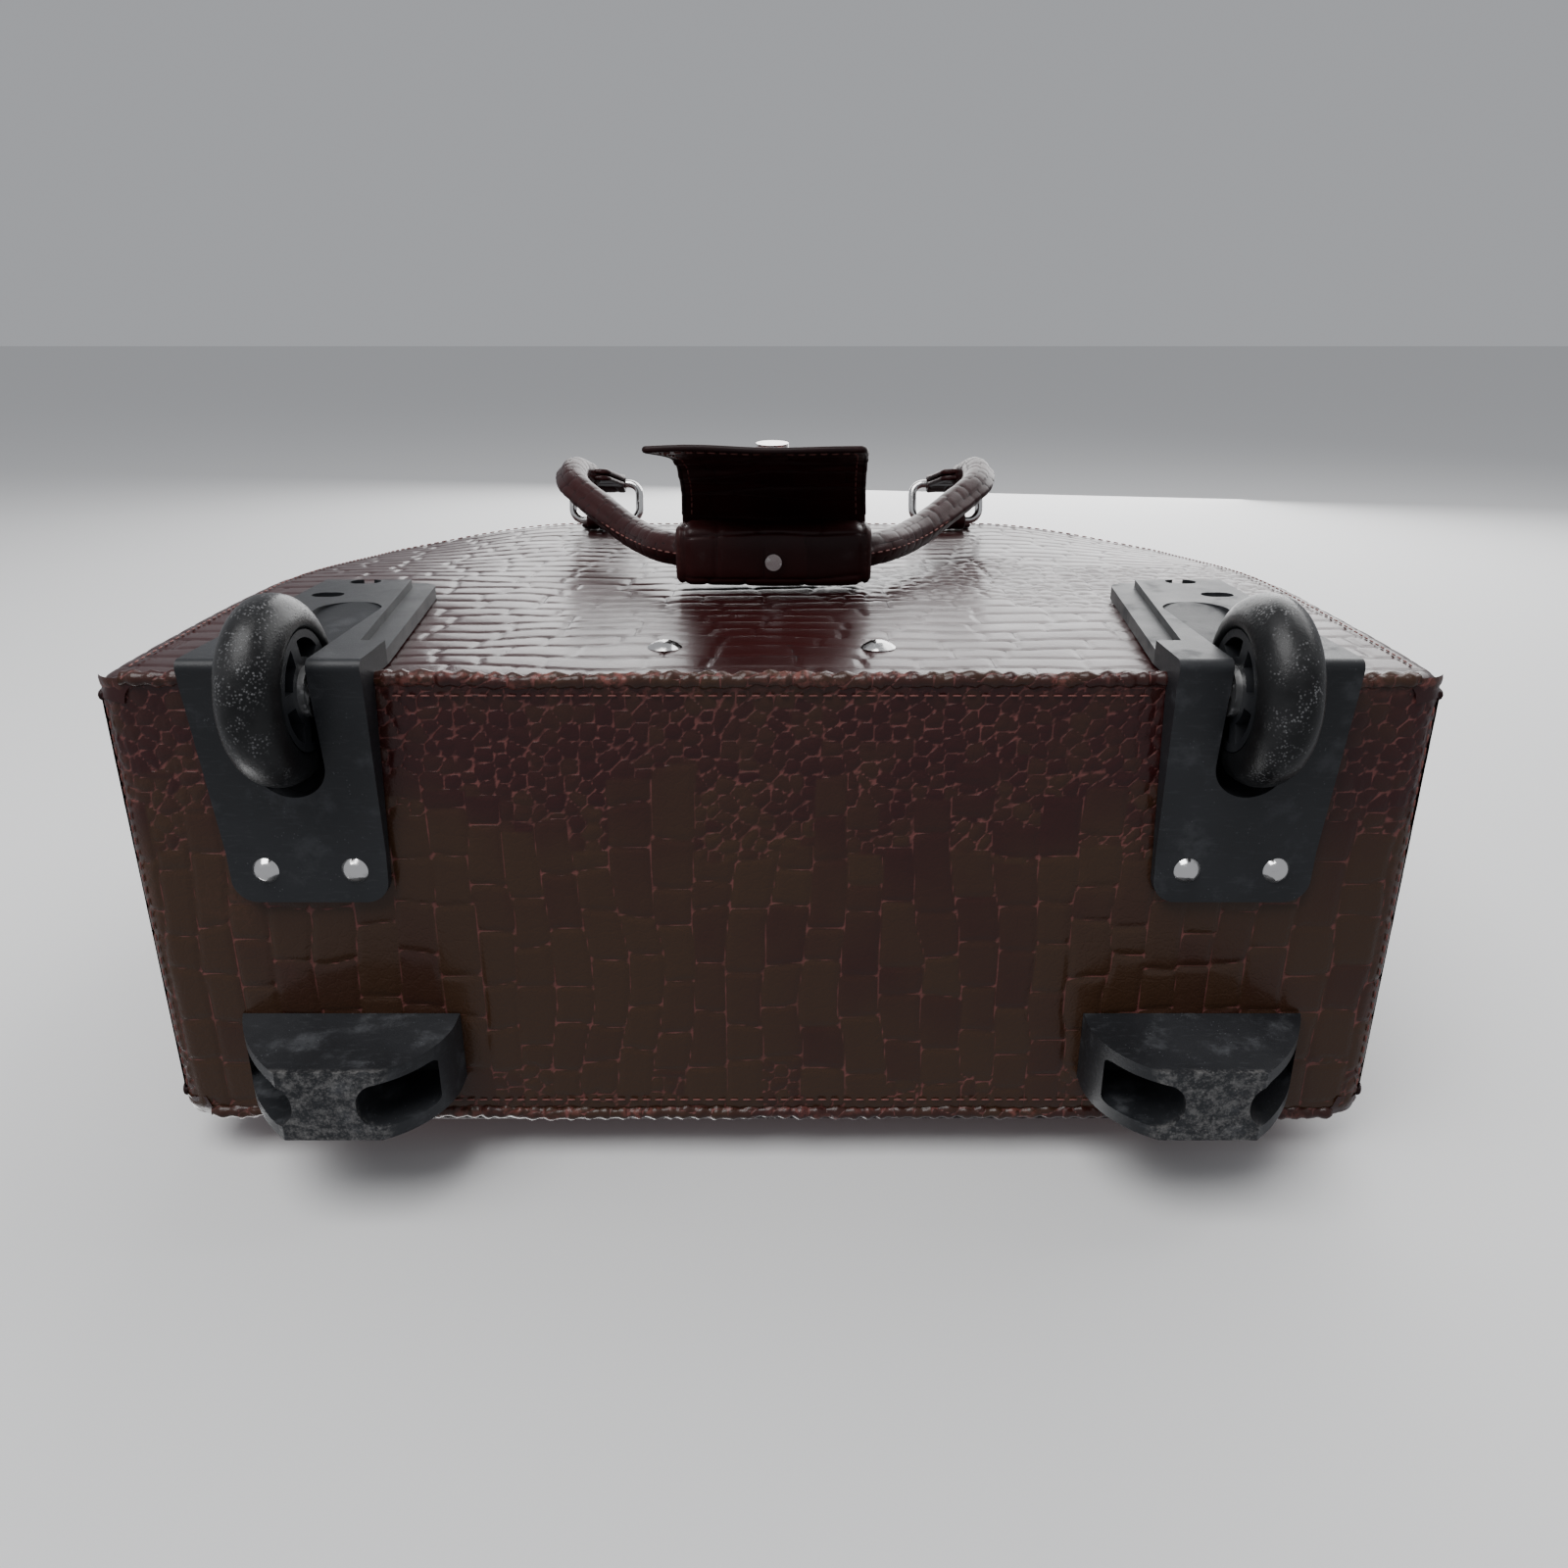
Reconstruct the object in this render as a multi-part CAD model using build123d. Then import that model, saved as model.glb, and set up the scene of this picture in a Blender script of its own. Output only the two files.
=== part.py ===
from build123d import *
import os
from math import atan2, degrees, hypot

# Rolling laptop case, in millimetres, standing upright on its wheels and feet.
# +Z is up, +Y is the wheeled back, -Y the pocketed front; left is -X and right is +X.

# ---- case body
CASE_WIDTH = 430.0  # across the base
CASE_DEPTH = 166.0  # back face to front face
CASE_HEIGHT = 324.0  # base face to top face
BODY_SHIFT = -8.9  # moves the body so that the whole case is centred on Y = 0
SIDE_BULGE = 5.0  # sides swell out past the base width
BULGE_HEIGHT = 97.0  # height of the widest place above the base
TOP_INSET = 4.0  # each side leans in by this at the top
LOW_CORNER_R = 12.0
TOP_CORNER_R = 55.0
RIM_R = 8.0  # rounding round the back and front faces
SKIN = 3.0  # leather and its stiffener
BOARD = 2.5  # inner boards
BOARD_WIDE_TOP = 130.0  # the back board is full width up to here
BOARD_HALF = 72.0  # half its width above that
TOUCH_GAP = 0.3  # between parts that move past each other
RUN_CLEAR = 0.05  # radial clearance of a running pin
PIN_CLEAR = 0.1  # radial clearance of a loose ring or pull

# ---- lining and divider
LINING_INSET = 6.0
LINING_WALL = 1.0
LINING_BACK = 44.0  # lining's back wall in front of the back face
LINING_TOP_DROP = 12.0
DIVIDER_THICK = 8.0
DIVIDER_HALF = 188.0
DIVIDER_TOP_DROP = 62.0
SLEEVE_DEPTH = 30.0
DIVIDER_R = 3.5

# ---- wheels
WHEEL_R = 30.0
TYRE_WIDTH = 19.5
TYRE_SHOULDER_R = 8.5
RIM_OUTER_R = 19.0
HUB_WIDTH = 18.0
HUB_RECESS = 5.0
HUB_RECESS_R = 16.5
HUB_BOSS_R = 10.5
SPOKES = 5
SPOKE_WIDTH = 5.0
SPOKE_REACH = 20.0  # longer than the ring it crosses
BEARING_R = 8.0
BEARING_END_GAP = 0.5
AXLE_R = 3.0
WHEEL_X = 152.0
AXLE_IN = 3.0  # axle in front of the back face
AXLE_DROP = 6.0  # axle below the base face
AXLE_HOLD = 12.4  # length of axle held in each arm

# ---- wheel housings
SLOT_WIDTH = 23.0
WELL_GAP = 6.0  # round the tyre
WELL_WALL = 2.5
ARM_THICK = 12.0  # below the base at the corner
HOUSING_BACK = 8.0  # behind the back face at the corner
HOUSING_PLATE = 3.5  # thickness at the front end of the base leg
HOUSING_BASE_LEN = 77.0
HOUSING_TAPER_Y = 59.0  # in front of this the base leg is flat
HOUSING_ARM_Y = 14.0
HOUSING_CORNER_R = 8.0
HOUSING_EDGE_R = 3.0  # along the outer corner of the L
HOUSING_HEIGHT = 122.0
HOUSING_BORDER = 5.0  # thickness of the border round the raised hood
HOUSING_HOOD = 8.0  # thickness of the raised hood at its top
HOOD_MARGIN = 8.0
HOUSING_OUT_X = 28.0  # outer edge from the wheel centre
HOUSING_IN_X = 28.0  # inner edge from the wheel centre
HOUSING_END_IN = 25.0  # inner edge at the front end of the base leg
HOUSING_END_OUT = 26.5
HOUSING_TOP_IN = 15.0  # inner edge at the top of the back leg
HOUSING_TOP_OUT = 27.0
RAMP_FOOT_Z = 33.0
RAMP_TOP_Z = 72.0
RAMP_FLOOR = 1.5
RECESS_X = (16.0, 10.0)  # screw recesses, out from the wheel centre
RECESS_Z = (85.0, 110.0)
RECESS_R = 4.0
RECESS_LONG = 4.0
RECESS_DEPTH = 5.0
SCREW_R = 3.4
SCREW_HEAD = 1.8
CROSS_HALF = 2.2  # the cross in a screw head
CROSS_SLOT = 0.5  # half its width
CROSS_DEEP = 0.8
HOUSING_RIVET_Y = 65.4
HOUSING_RIVET_HALF = 14.7
HOUSING_RIVET_R = 4.4

# ---- feet
FOOT_X = 147.0
FOOT_LONG = 76.0
FOOT_DEEP = 26.0
FOOT_BACK_Y = 122.0  # rear face of the foot in front of the back face
FOOT_BASE = 3.0
FOOT_WALL = 4.5
FOOT_SOLE = (25.0, 57.0)  # the flat sole, in from the outer end
FOOT_WEB = (29.0, 50.0)  # the web between the pockets at its waist, in from the outer end
FOOT_POCKET_R = 8.0
FOOT_END_R = 2.0
FOOT_BELLY = (6.0, 11.0)  # where the inner curve passes, in from its end and up from the floor
FOOT_HEEL = (11.4, 14.5)  # where the outer curve passes, in from its end and up from the floor
FOOT_END_WALL = 3.0
FOOT_RIVET_R = 4.4
FOOT_RIVET_U = 67.5

# ---- rivets
RIVET_DOME = 2.4
SHANK_R = 1.6
TROLLEY_HOLE = 25.0  # how far the holes of the extending handle's rivets reach in

# ---- extending handle
TUBE_X = 60.0
TUBE_BACK = 25.0  # tube centres in front of the back face
TUBE_R = 9.0
TUBE_WALL = 0.8
TUBE_GAP = 0.2
TUBE_FLOOR = 10.0  # outer tubes start this far above the base face
STAGE_STEP = 8.0
TRAVEL = 250.0
DECK_FRONT = 42.0  # front edge of the fixed top deck
BEZEL_HALF_X = 84.0
BEZEL_HALF_Y = 15.0
BEZEL_THICK = 4.0
BEZEL_R = 6.0
GRIP_HALF_X = 75.0
GRIP_HALF_Y = 13.0
GRIP_HEIGHT = 23.0
GRIP_R = 7.0
GRIP_GAP = 1.0
GRIP_SOCKET = 10.0
BUTTON_LONG = 34.0
BUTTON_WIDE = 10.0
BUTTON_TALL = 7.0
BUTTON_PROUD = 2.0
BUTTON_POCKET = 9.0
BUTTON_R = 1.6
BRACKET_HALF = 74.0
BRACKET_TALL = 20.0
TONGUE_HALF = 48.0
TONGUE_TALL = 44.0
TONGUE_THICK = 4.0
TROLLEY_RIVET_X = 36.5
TROLLEY_RIVET_Z = 37.0
TROLLEY_RIVET_R = 6.0

# ---- top lids and zips
LID_HALF = 130.0
LID_GAP = 0.5
ZIP_GAP = 1.8  # between the two rows of teeth
TEETH_WIDTH = 3.0
TEETH_THICK = 2.0
TEETH_DROP = 0.4  # below the skin's outer face
TOOTH_PITCH = 4.0
TOOTH_LONG = 2.4
TOOTH_DEEP = 1.2
ZIP_END = 156.0
SLIDER_PARK = 143.0
SLIDER_LONG = 9.0
SLIDER_WIDE = 9.0
SLIDER_PLATE = 1.5
NECK_WIDE = 1.2
NECK_LONG = 3.0
LUG_THICK = 1.2
LUG_TALL = 4.3
LUG_GAP = 3.2
LUG_HALF = 1.8  # half a lug's length
PIN_R = 0.8
PULL_LONG = 24.0
PULL_WIDE = 7.0
PULL_THICK = 1.4
PULL_EYE_R = 1.8
PULL_SIDE_GAP = 0.25  # between the eye and each lug
PULL_STEM = 8.0
PULL_LAP = 2.0  # stem and tab overlap
PULL_CORNER_R = 2.0
PULL_HOLE_R = 1.6
PULL_HOLE_IN = 4.5

# ---- front pocket
POCKET_HALF = 183.5
POCKET_FOOT = 10.0
POCKET_TOP = 216.0
POCKET_THICK = 10.0
POCKET_CORNER_R = 16.0
POCKET_EDGE_R = 4.0
POCKET_ZIP_Z = 199.0
POCKET_ZIP_HALF = 172.0
POCKET_PARK = 164.0
GROOVE_DEEP = 5.6

# ---- carrying handles, offsets measured out from the panel they hang on
RING_X = 92.0
RING_DROP = 31.0  # pivot below the top face
RING_PIVOT_OUT = 5.5
RING_REACH_OUT = 18.5
RING_REACH_UP = 6.0
RING_WIRE_R = 2.1
RING_LONG = 36.0
RING_CORNER_R = 6.0
CHAPE_WIDE = 30.0
CHAPE_NECK = 21.0
CHAPE_THICK = 3.0
CHAPE_TOP = 18.0
CHAPE_LOOP_R = 4.9
CHAPE_CORNER_R = 2.0
ROLL_R = 7.5
TAB_WIDE = 27.0
TAB_THICK = 6.0
TAB_LONG = 34.0
TAB_OVER = 9.0
TAB_LOOP_R = 4.9
TAB_CORNER_R = 3.0
TAB_NECK_LAP = 4.0
HANDLE_X = (101.0, 96.0, 82.0, 64.0, 44.0, 22.0)
HANDLE_DOWN = (43.0, 72.0, 92.0, 116.0, 149.0, 158.0)
REAR_OUT = (35.0, 31.0, 24.0, 16.0, 14.5, 14.3)
FRONT_OUT = (37.0, 34.0, 30.0, 26.5, 25.0, 24.8)
WRAP_HALF = 40.5
WRAP_DOWN = 158.0  # wrap centre below the far bar of the ring
WRAP_THICK = 26.6
WRAP_TALL = 26.0
WRAP_R = 8.0
FLAP_HALF = 40.0
FLAP_THICK = 2.4
HINGE_R = 1.4
HINGE_SINK = 0.6  # the flap's hinge line below the top of its roll
REAR_FLAP = ((0.0, 0.0), (13.0, -11.0), (20.0, -22.0), (29.0, -38.0), (36.0, -71.0))
FRONT_FLAP = ((0.0, 0.0), (4.0, -8.0), (4.6, -16.0), (1.0, -28.0), (-10.0, -31.0), (-22.0, -31.0))
STUD_R = 3.4
STUD_TALL = 2.2
STUD_IN = 3.6
SOCKET_R = 6.0
SOCKET_TALL = 1.8
SOCKET_PROUD = 0.2
SOCKET_FROM_END = 11.0

# ---- places worked out from the sizes
Y_REAR = CASE_DEPTH / 2 + BODY_SHIFT
Y_FRONT = -CASE_DEPTH / 2 + BODY_SHIFT
Z_BASE = WHEEL_R + AXLE_DROP
Z_TOP = Z_BASE + CASE_HEIGHT
WELL_R = WHEEL_R + WELL_GAP
RING_PIVOT_Z = CASE_HEIGHT - RING_DROP  # above the base face
AXLE_Y = Y_REAR - AXLE_IN
AXLE_Z = WHEEL_R
TUBE_Y = Y_REAR - TUBE_BACK
LID_BACK = Y_REAR - DECK_FRONT
LID_FRONT = Y_FRONT + RIM_R
ZIP_Y = (LID_BACK + LID_FRONT) / 2
BIG = 2000.0  # longer than anything here
CLEAR_OF = 200.0  # clear of one housing, for cutting tools


def block(x0, x1, y0, y1, z0, z1):
    """A box between two corners."""
    middle = ((x0 + x1) / 2, (y0 + y1) / 2, (z0 + z1) / 2)
    return Pos(*middle) * Box(abs(x1 - x0), abs(y1 - y0), abs(z1 - z0))


def rod_x(radius, x0, x1, y, z):
    """A round bar along X."""
    return Pos((x0 + x1) / 2, y, z) * Rot(0, 90, 0) * Cylinder(radius, abs(x1 - x0))


def rod_y(radius, y0, y1, x, z):
    """A round bar along Y."""
    return Pos(x, (y0 + y1) / 2, z) * Rot(90, 0, 0) * Cylinder(radius, abs(y1 - y0))


def rod_z(radius, z0, z1, x, y):
    """A round bar along Z."""
    return Pos(x, y, (z0 + z1) / 2) * Cylinder(radius, abs(z1 - z0))


def prism(points, direction, amount):
    """A flat polygon, given by its corners in space, pushed along a direction."""
    face = make_face(Polyline(*points, close=True))
    return extrude(face, amount=amount, dir=direction)


def side_prism(points, x0, x1):
    """A polygon of (y, z) corners pushed from x0 to x1."""
    return prism([(x0, y, z) for y, z in points], (1, 0, 0), x1 - x0)


def front_prism(points, y0, y1):
    """A polygon of (x, z) corners pushed from y0 to y1."""
    return prism([(x, y0, z) for x, z in points], (0, 1, 0), y1 - y0)


def plan_prism(points, z0, z1):
    """A polygon of (x, y) corners pushed from z0 to z1."""
    return prism([(x, y, z0) for x, y in points], (0, 0, 1), z1 - z0)


def mirrored(shape):
    """The same shape on the other side of the case."""
    return mirror(shape, about=Plane.YZ)


def save(name, *shapes):
    """Write a node, one or more solids, to its file."""
    solids = [solid for shape in shapes for solid in shape.solids()]
    whole = solids[0] if len(solids) == 1 else Compound(children=solids)
    export_step(whole, "parts/" + name + ".step")


# ---------------------------------------------------------------- body
def outline(inset):
    """The case seen from the back, drawn in by an inset, as a flat face."""
    half = CASE_WIDTH / 2
    top = half - TOP_INSET
    wide = half + SIDE_BULGE
    edges = [
        Line((-half, 0), (half, 0)),
        ThreePointArc((half, 0), (wide, BULGE_HEIGHT), (top, CASE_HEIGHT)),
        Line((top, CASE_HEIGHT), (-top, CASE_HEIGHT)),
        ThreePointArc((-top, CASE_HEIGHT), (-wide, BULGE_HEIGHT), (-half, 0)),
    ]
    face = make_face(edges)
    low = [v for v in face.vertices() if v.Y < CASE_HEIGHT / 2]
    face = fillet(low, LOW_CORNER_R)
    high = [v for v in face.vertices() if v.Y > CASE_HEIGHT - 1]
    face = fillet(high, TOP_CORNER_R)
    if inset:
        face = offset(face, amount=-inset)
    return Pos(0, 0, Z_BASE) * Rot(90, 0, 0) * face


def body_solid(inset):
    """The whole case as one rounded solid, drawn in by an inset."""
    y0 = Y_FRONT + inset
    y1 = Y_REAR - inset
    face = Pos(0, y0, 0) * outline(inset)
    solid = extrude(face, amount=y1 - y0, dir=(0, 1, 0))
    ends = solid.faces().sort_by(Axis.Y)
    rims = list(ends[0].edges()) + list(ends[-1].edges())
    return fillet(rims, RIM_R - inset)


def wheel_well(side, grow):
    """The round space for a wheel, grown by an amount all round."""
    half = SLOT_WIDTH / 2 + grow
    x = side * WHEEL_X
    return rod_x(WELL_R + grow, x - half, x + half, AXLE_Y, AXLE_Z)


def both_wells(grow):
    """The wheel spaces of both sides."""
    return wheel_well(-1, grow) + wheel_well(1, grow)


def rivet_shanks():
    """The shanks of all rivets and housing screws, for cutting their holes."""
    bars = [rod_y(SHANK_R, Y_REAR - TROLLEY_HOLE, Y_REAR + 1, s * TROLLEY_RIVET_X, Z_BASE + TROLLEY_RIVET_Z)
            for s in (-1, 1)]
    for side in (-1, 1):
        for place in housing_rivet_places(side) + [foot_rivet_place(side)]:
            bars.append(rod_z(SHANK_R, Z_BASE - HOUSING_PLATE, Z_BASE + SKIN + BOARD, *place))
        for x, z in screw_places(side):
            bars.append(rod_y(SHANK_R, Y_REAR - SKIN - BOARD, Y_REAR + HOUSING_HOOD, x, z))
    return bars


def housing_rivet_places(side):
    """Where the rivets of a wheel housing are, as (x, y)."""
    y = Y_REAR - HOUSING_RIVET_Y
    return [(side * WHEEL_X + k * HOUSING_RIVET_HALF, y) for k in (-1, 1)]


def foot_rivet_place(side):
    """Where the rivet in a foot's inner pocket is, as (x, y)."""
    x = side * (FOOT_X + FOOT_LONG / 2 - FOOT_RIVET_U)
    return (x, Y_REAR - FOOT_BACK_Y - FOOT_DEEP / 2)


def screw_places(side):
    """Where the screws of a wheel housing's back leg are, as (x, z)."""
    return [(side * (WHEEL_X + x), Z_BASE + z) for x, z in zip(RECESS_X, RECESS_Z)]


def make_shell():
    """The leather panels of the case, split where they are sewn together."""
    shell = body_solid(0) - body_solid(SKIN)
    shell -= both_wells(WELL_WALL + TOUCH_GAP)
    for bar in rivet_shanks():
        shell -= bar
    flat = CASE_WIDTH / 2 - LOW_CORNER_R
    bottom_zone = block(-flat, flat, Y_FRONT, Y_REAR, Z_BASE, Z_BASE + SKIN)
    back_zone = block(-BIG, BIG, Y_REAR - RIM_R, Y_REAR + 1, Z_BASE + SKIN, Z_TOP + 1)
    front_zone = block(-BIG, BIG, Y_FRONT - 1, Y_FRONT + RIM_R, Z_BASE + SKIN, Z_TOP + 1)
    top_zone = block(-LID_HALF, LID_HALF, Y_FRONT + RIM_R, Y_REAR - RIM_R, Z_TOP - RIM_R, Z_TOP + 1)
    save("bottom_panel", shell & bottom_zone)
    save("back_panel", shell & back_zone)
    save("front_panel", shell & front_zone)
    sides = shell - bottom_zone - back_zone - front_zone - top_zone
    slot_half = ZIP_GAP / 2 + TEETH_WIDTH
    for side in (-1, 1):
        slot = block(side * LID_HALF, side * ZIP_END, ZIP_Y - slot_half, ZIP_Y + slot_half,
                     Z_TOP - RIM_R, Z_TOP + 1)
        sides -= slot
    save("gusset_left", sides & block(-BIG, 0, -BIG, BIG, -BIG, BIG))
    save("gusset_right", sides & block(0, BIG, -BIG, BIG, -BIG, BIG))
    deck = block(-LID_HALF, LID_HALF, LID_BACK, Y_REAR - RIM_R, Z_TOP - SKIN, Z_TOP)
    for x in (-TUBE_X, TUBE_X):
        deck -= rod_z(TUBE_R, Z_TOP - RIM_R, Z_TOP + 1, x, TUBE_Y)
    save("top_deck", deck)


def make_boards():
    """The stiff boards behind the base and the back."""
    inner = body_solid(SKIN)
    base = inner & block(-BIG, BIG, Y_FRONT, Y_REAR - SKIN - BOARD, Z_BASE + SKIN, Z_BASE + SKIN + BOARD)
    zone = block(-BIG, BIG, Y_REAR - SKIN - BOARD, Y_REAR - SKIN, Z_BASE + SKIN, Z_BASE + BOARD_WIDE_TOP)
    zone += block(-BOARD_HALF, BOARD_HALF, Y_REAR - SKIN - BOARD, Y_REAR - SKIN, Z_BASE + SKIN,
                  Z_TOP - TOP_CORNER_R)
    back = inner & zone
    cut = both_wells(WELL_WALL + TOUCH_GAP)
    base -= cut
    back -= cut
    for bar in rivet_shanks():
        base -= bar
        back -= bar
    save("base_board", base)
    save("back_board", back)


def make_lining():
    """The cloth lining, an open-topped bag, and the padded laptop divider in it."""
    outer = body_solid(LINING_INSET)
    inner = body_solid(LINING_INSET + LINING_WALL)
    wall = Y_REAR - LINING_BACK
    room = block(-BIG, BIG, Y_FRONT, wall, Z_BASE, Z_TOP - LINING_TOP_DROP)
    back = block(-BIG, BIG, wall, wall + LINING_WALL, Z_BASE, Z_TOP - LINING_TOP_DROP)
    save("lining", ((outer - inner) & room) + (outer & back))
    y1 = wall - SLEEVE_DEPTH
    z0 = Z_BASE + LINING_INSET + LINING_WALL
    divider = block(-DIVIDER_HALF, DIVIDER_HALF, y1 - DIVIDER_THICK, y1, z0, Z_TOP - DIVIDER_TOP_DROP)
    save("laptop_divider", fillet(divider.edges(), DIVIDER_R))


# ---------------------------------------------------------------- wheels
def make_wheel(side, name):
    """A tyre, its spoked hub and the metal sleeve that turns on the axle."""
    x = side * WHEEL_X
    place = Pos(x, AXLE_Y, AXLE_Z) * Rot(0, 90, 0)
    tyre = Cylinder(WHEEL_R, TYRE_WIDTH)
    tyre = fillet(tyre.edges().filter_by(GeomType.CIRCLE), TYRE_SHOULDER_R)
    tyre -= Cylinder(RIM_OUTER_R, BIG)
    save("tyre_" + name, place * tyre)
    hub = Cylinder(RIM_OUTER_R, HUB_WIDTH)
    recess = Cylinder(HUB_RECESS_R, HUB_RECESS) - Cylinder(HUB_BOSS_R, HUB_RECESS)
    for k in range(SPOKES):
        turn = Rot(0, 0, k * 360 / SPOKES)
        recess -= turn * Pos(HUB_RECESS_R / 2, 0, 0) * Box(SPOKE_REACH, SPOKE_WIDTH, HUB_RECESS)
    for end in (-1, 1):
        hub -= Pos(0, 0, end * (HUB_WIDTH - HUB_RECESS) / 2) * recess
    hub -= Cylinder(BEARING_R, BIG)
    save("hub_" + name, place * hub)
    sleeve = Cylinder(BEARING_R, SLOT_WIDTH - 2 * BEARING_END_GAP) - Cylinder(AXLE_R + RUN_CLEAR, BIG)
    save("bearing_" + name, place * sleeve)


def make_axles():
    """The two steel axles, held in the housing arms."""
    half = SLOT_WIDTH / 2 + AXLE_HOLD
    save("axles", *[rod_x(AXLE_R, s * WHEEL_X - half, s * WHEEL_X + half, AXLE_Y, AXLE_Z) for s in (-1, 1)])


def housing_side_profile(back, below):
    """The L of a housing seen from the side, as (y, z) corners."""
    return [
        (Y_REAR, Z_BASE),
        (Y_REAR - HOUSING_BASE_LEN, Z_BASE),
        (Y_REAR - HOUSING_BASE_LEN, Z_BASE - HOUSING_PLATE),
        (Y_REAR - HOUSING_TAPER_Y, Z_BASE - HOUSING_PLATE),
        (Y_REAR + back, Z_BASE - below),
        (Y_REAR + back, Z_BASE + HOUSING_ARM_Y),
        (Y_REAR + HOUSING_HOOD, Z_BASE + HOUSING_HEIGHT),
        (Y_REAR, Z_BASE + HOUSING_HEIGHT),
    ]


def make_housing():
    """The right wheel housing: base leg, back leg, thick corner and wheel well."""
    x = WHEEL_X
    body = side_prism(housing_side_profile(HOUSING_BACK, ARM_THICK), x - HOUSING_IN_X, x + HOUSING_OUT_X)
    corner = [e for e in body.edges().filter_by(Axis.X)
              if abs(e.center().Y - Y_REAR - HOUSING_BACK) < 0.1 and e.center().Z < Z_BASE]
    body = fillet(corner, HOUSING_EDGE_R)
    plan = [(x - HOUSING_IN_X, Y_REAR + HOUSING_BACK * 2), (x - HOUSING_IN_X, Y_REAR),
            (x - HOUSING_END_IN, Y_REAR - HOUSING_BASE_LEN), (x + HOUSING_END_OUT, Y_REAR - HOUSING_BASE_LEN),
            (x + HOUSING_OUT_X, Y_REAR), (x + HOUSING_OUT_X, Y_REAR + HOUSING_BACK * 2)]
    ends = plan_prism(plan, 0, Z_TOP)
    ends = fillet([e for e in ends.edges().filter_by(Axis.Z) if e.center().Y < Y_REAR - HOUSING_ARM_Y],
                  HOUSING_CORNER_R)
    back = [(x - HOUSING_IN_X, 0), (x + HOUSING_OUT_X, 0), (x + HOUSING_OUT_X, Z_BASE),
            (x + HOUSING_TOP_OUT, Z_BASE + HOUSING_HEIGHT), (x - HOUSING_TOP_IN, Z_BASE + HOUSING_HEIGHT),
            (x - HOUSING_IN_X, Z_BASE + HOUSING_ARM_Y)]
    rise = front_prism(back, Y_REAR - CLEAR_OF, Y_REAR + CLEAR_OF)
    rise = fillet([e for e in rise.edges().filter_by(Axis.Y) if e.center().Z > Z_BASE + HOUSING_ARM_Y * 2],
                  HOUSING_CORNER_R)
    body = body & ends & rise
    body += housing_well(x)
    body -= wheel_well(1, 0) & block(-BIG, BIG, -BIG, BIG, Z_BASE, BIG)
    body -= slot_cut(x)
    body -= border_cut(x)
    body -= rod_x(AXLE_R, x - HOUSING_IN_X - 1, x + HOUSING_OUT_X + 1, AXLE_Y, AXLE_Z) & axle_room(x)
    for sx, sz in screw_places(1):
        body -= screw_recess(sx, sz)
    for rx, ry in housing_rivet_places(1):
        body -= rod_z(SHANK_R, 0, Z_BASE + 1, rx, ry)
    return body


def screw_recess(x, z):
    """An oval recess for a screw, with the hole for its shank."""
    seat = Y_REAR + HOUSING_HOOD - RECESS_DEPTH
    top = Y_REAR + HOUSING_BACK + 1
    half = RECESS_LONG / 2
    tool = block(x - half, x + half, seat, top, z - RECESS_R, z + RECESS_R)
    tool += rod_y(RECESS_R, seat, top, x - half, z)
    tool += rod_y(RECESS_R, seat, top, x + half, z)
    return tool + rod_y(SHANK_R, Y_REAR - 1, seat + 1, x, z)


def axle_room(x):
    """The stretch that an axle takes up along X."""
    half = SLOT_WIDTH / 2 + AXLE_HOLD
    return block(x - half, x + half, -BIG, BIG, -BIG, BIG)


def housing_well(x):
    """The closed shell round the wheel inside the case."""
    well = wheel_well(1, WELL_WALL)
    inside = block(x - BIG, x + BIG, -BIG, Y_REAR, Z_BASE, BIG)
    return well & inside


def slot_cut(x):
    """The round-ended slots through both legs and the ramp above the wheel."""
    half = SLOT_WIDTH / 2
    base_end = AXLE_Y - (WELL_R ** 2 - (Z_BASE - AXLE_Z) ** 2) ** 0.5 + half
    cut = block(x - half, x + half, base_end, Y_REAR + HOUSING_BACK + 1, 0, Z_BASE)
    cut += rod_z(half, 0, Z_BASE, x, base_end)
    ramp = side_prism([(Y_REAR + RAMP_FLOOR, Z_BASE), (Y_REAR + RAMP_FLOOR, Z_BASE + RAMP_FOOT_Z),
                       (Y_REAR + HOUSING_BACK, Z_BASE + RAMP_TOP_Z), (Y_REAR + HOUSING_BACK * 2, Z_BASE + RAMP_TOP_Z),
                       (Y_REAR + HOUSING_BACK * 2, Z_BASE)], x - half, x + half)
    end = rod_y(half, Y_REAR, Y_REAR + CLEAR_OF, x, Z_BASE + RAMP_TOP_Z - half)
    low = block(x - half, x + half, Y_REAR, Y_REAR + CLEAR_OF, 0, Z_BASE + RAMP_TOP_Z - half)
    return cut + (ramp & (end + low))


def border_cut(x):
    """What is cut away to leave a raised hood inside a thinner border on the inner side."""
    edge = x - HOUSING_IN_X
    lean = HOUSING_IN_X - HOUSING_TOP_IN
    points = [(edge - 1, Z_BASE + HOUSING_ARM_Y), (edge + HOOD_MARGIN, Z_BASE + HOUSING_ARM_Y),
              (edge + HOOD_MARGIN + lean, Z_BASE + HOUSING_HEIGHT - HOOD_MARGIN),
              (x + HOUSING_OUT_X + 1, Z_BASE + HOUSING_HEIGHT - HOOD_MARGIN),
              (x + HOUSING_OUT_X + 1, Z_BASE + HOUSING_HEIGHT + 1), (edge - 1, Z_BASE + HOUSING_HEIGHT + 1)]
    return front_prism(points, Y_REAR + HOUSING_BORDER, Y_REAR + CLEAR_OF)


def make_housings():
    """Both wheel housings, one the mirror of the other."""
    right = make_housing()
    save("wheel_housing_right", right)
    save("wheel_housing_left", mirrored(right))


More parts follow.
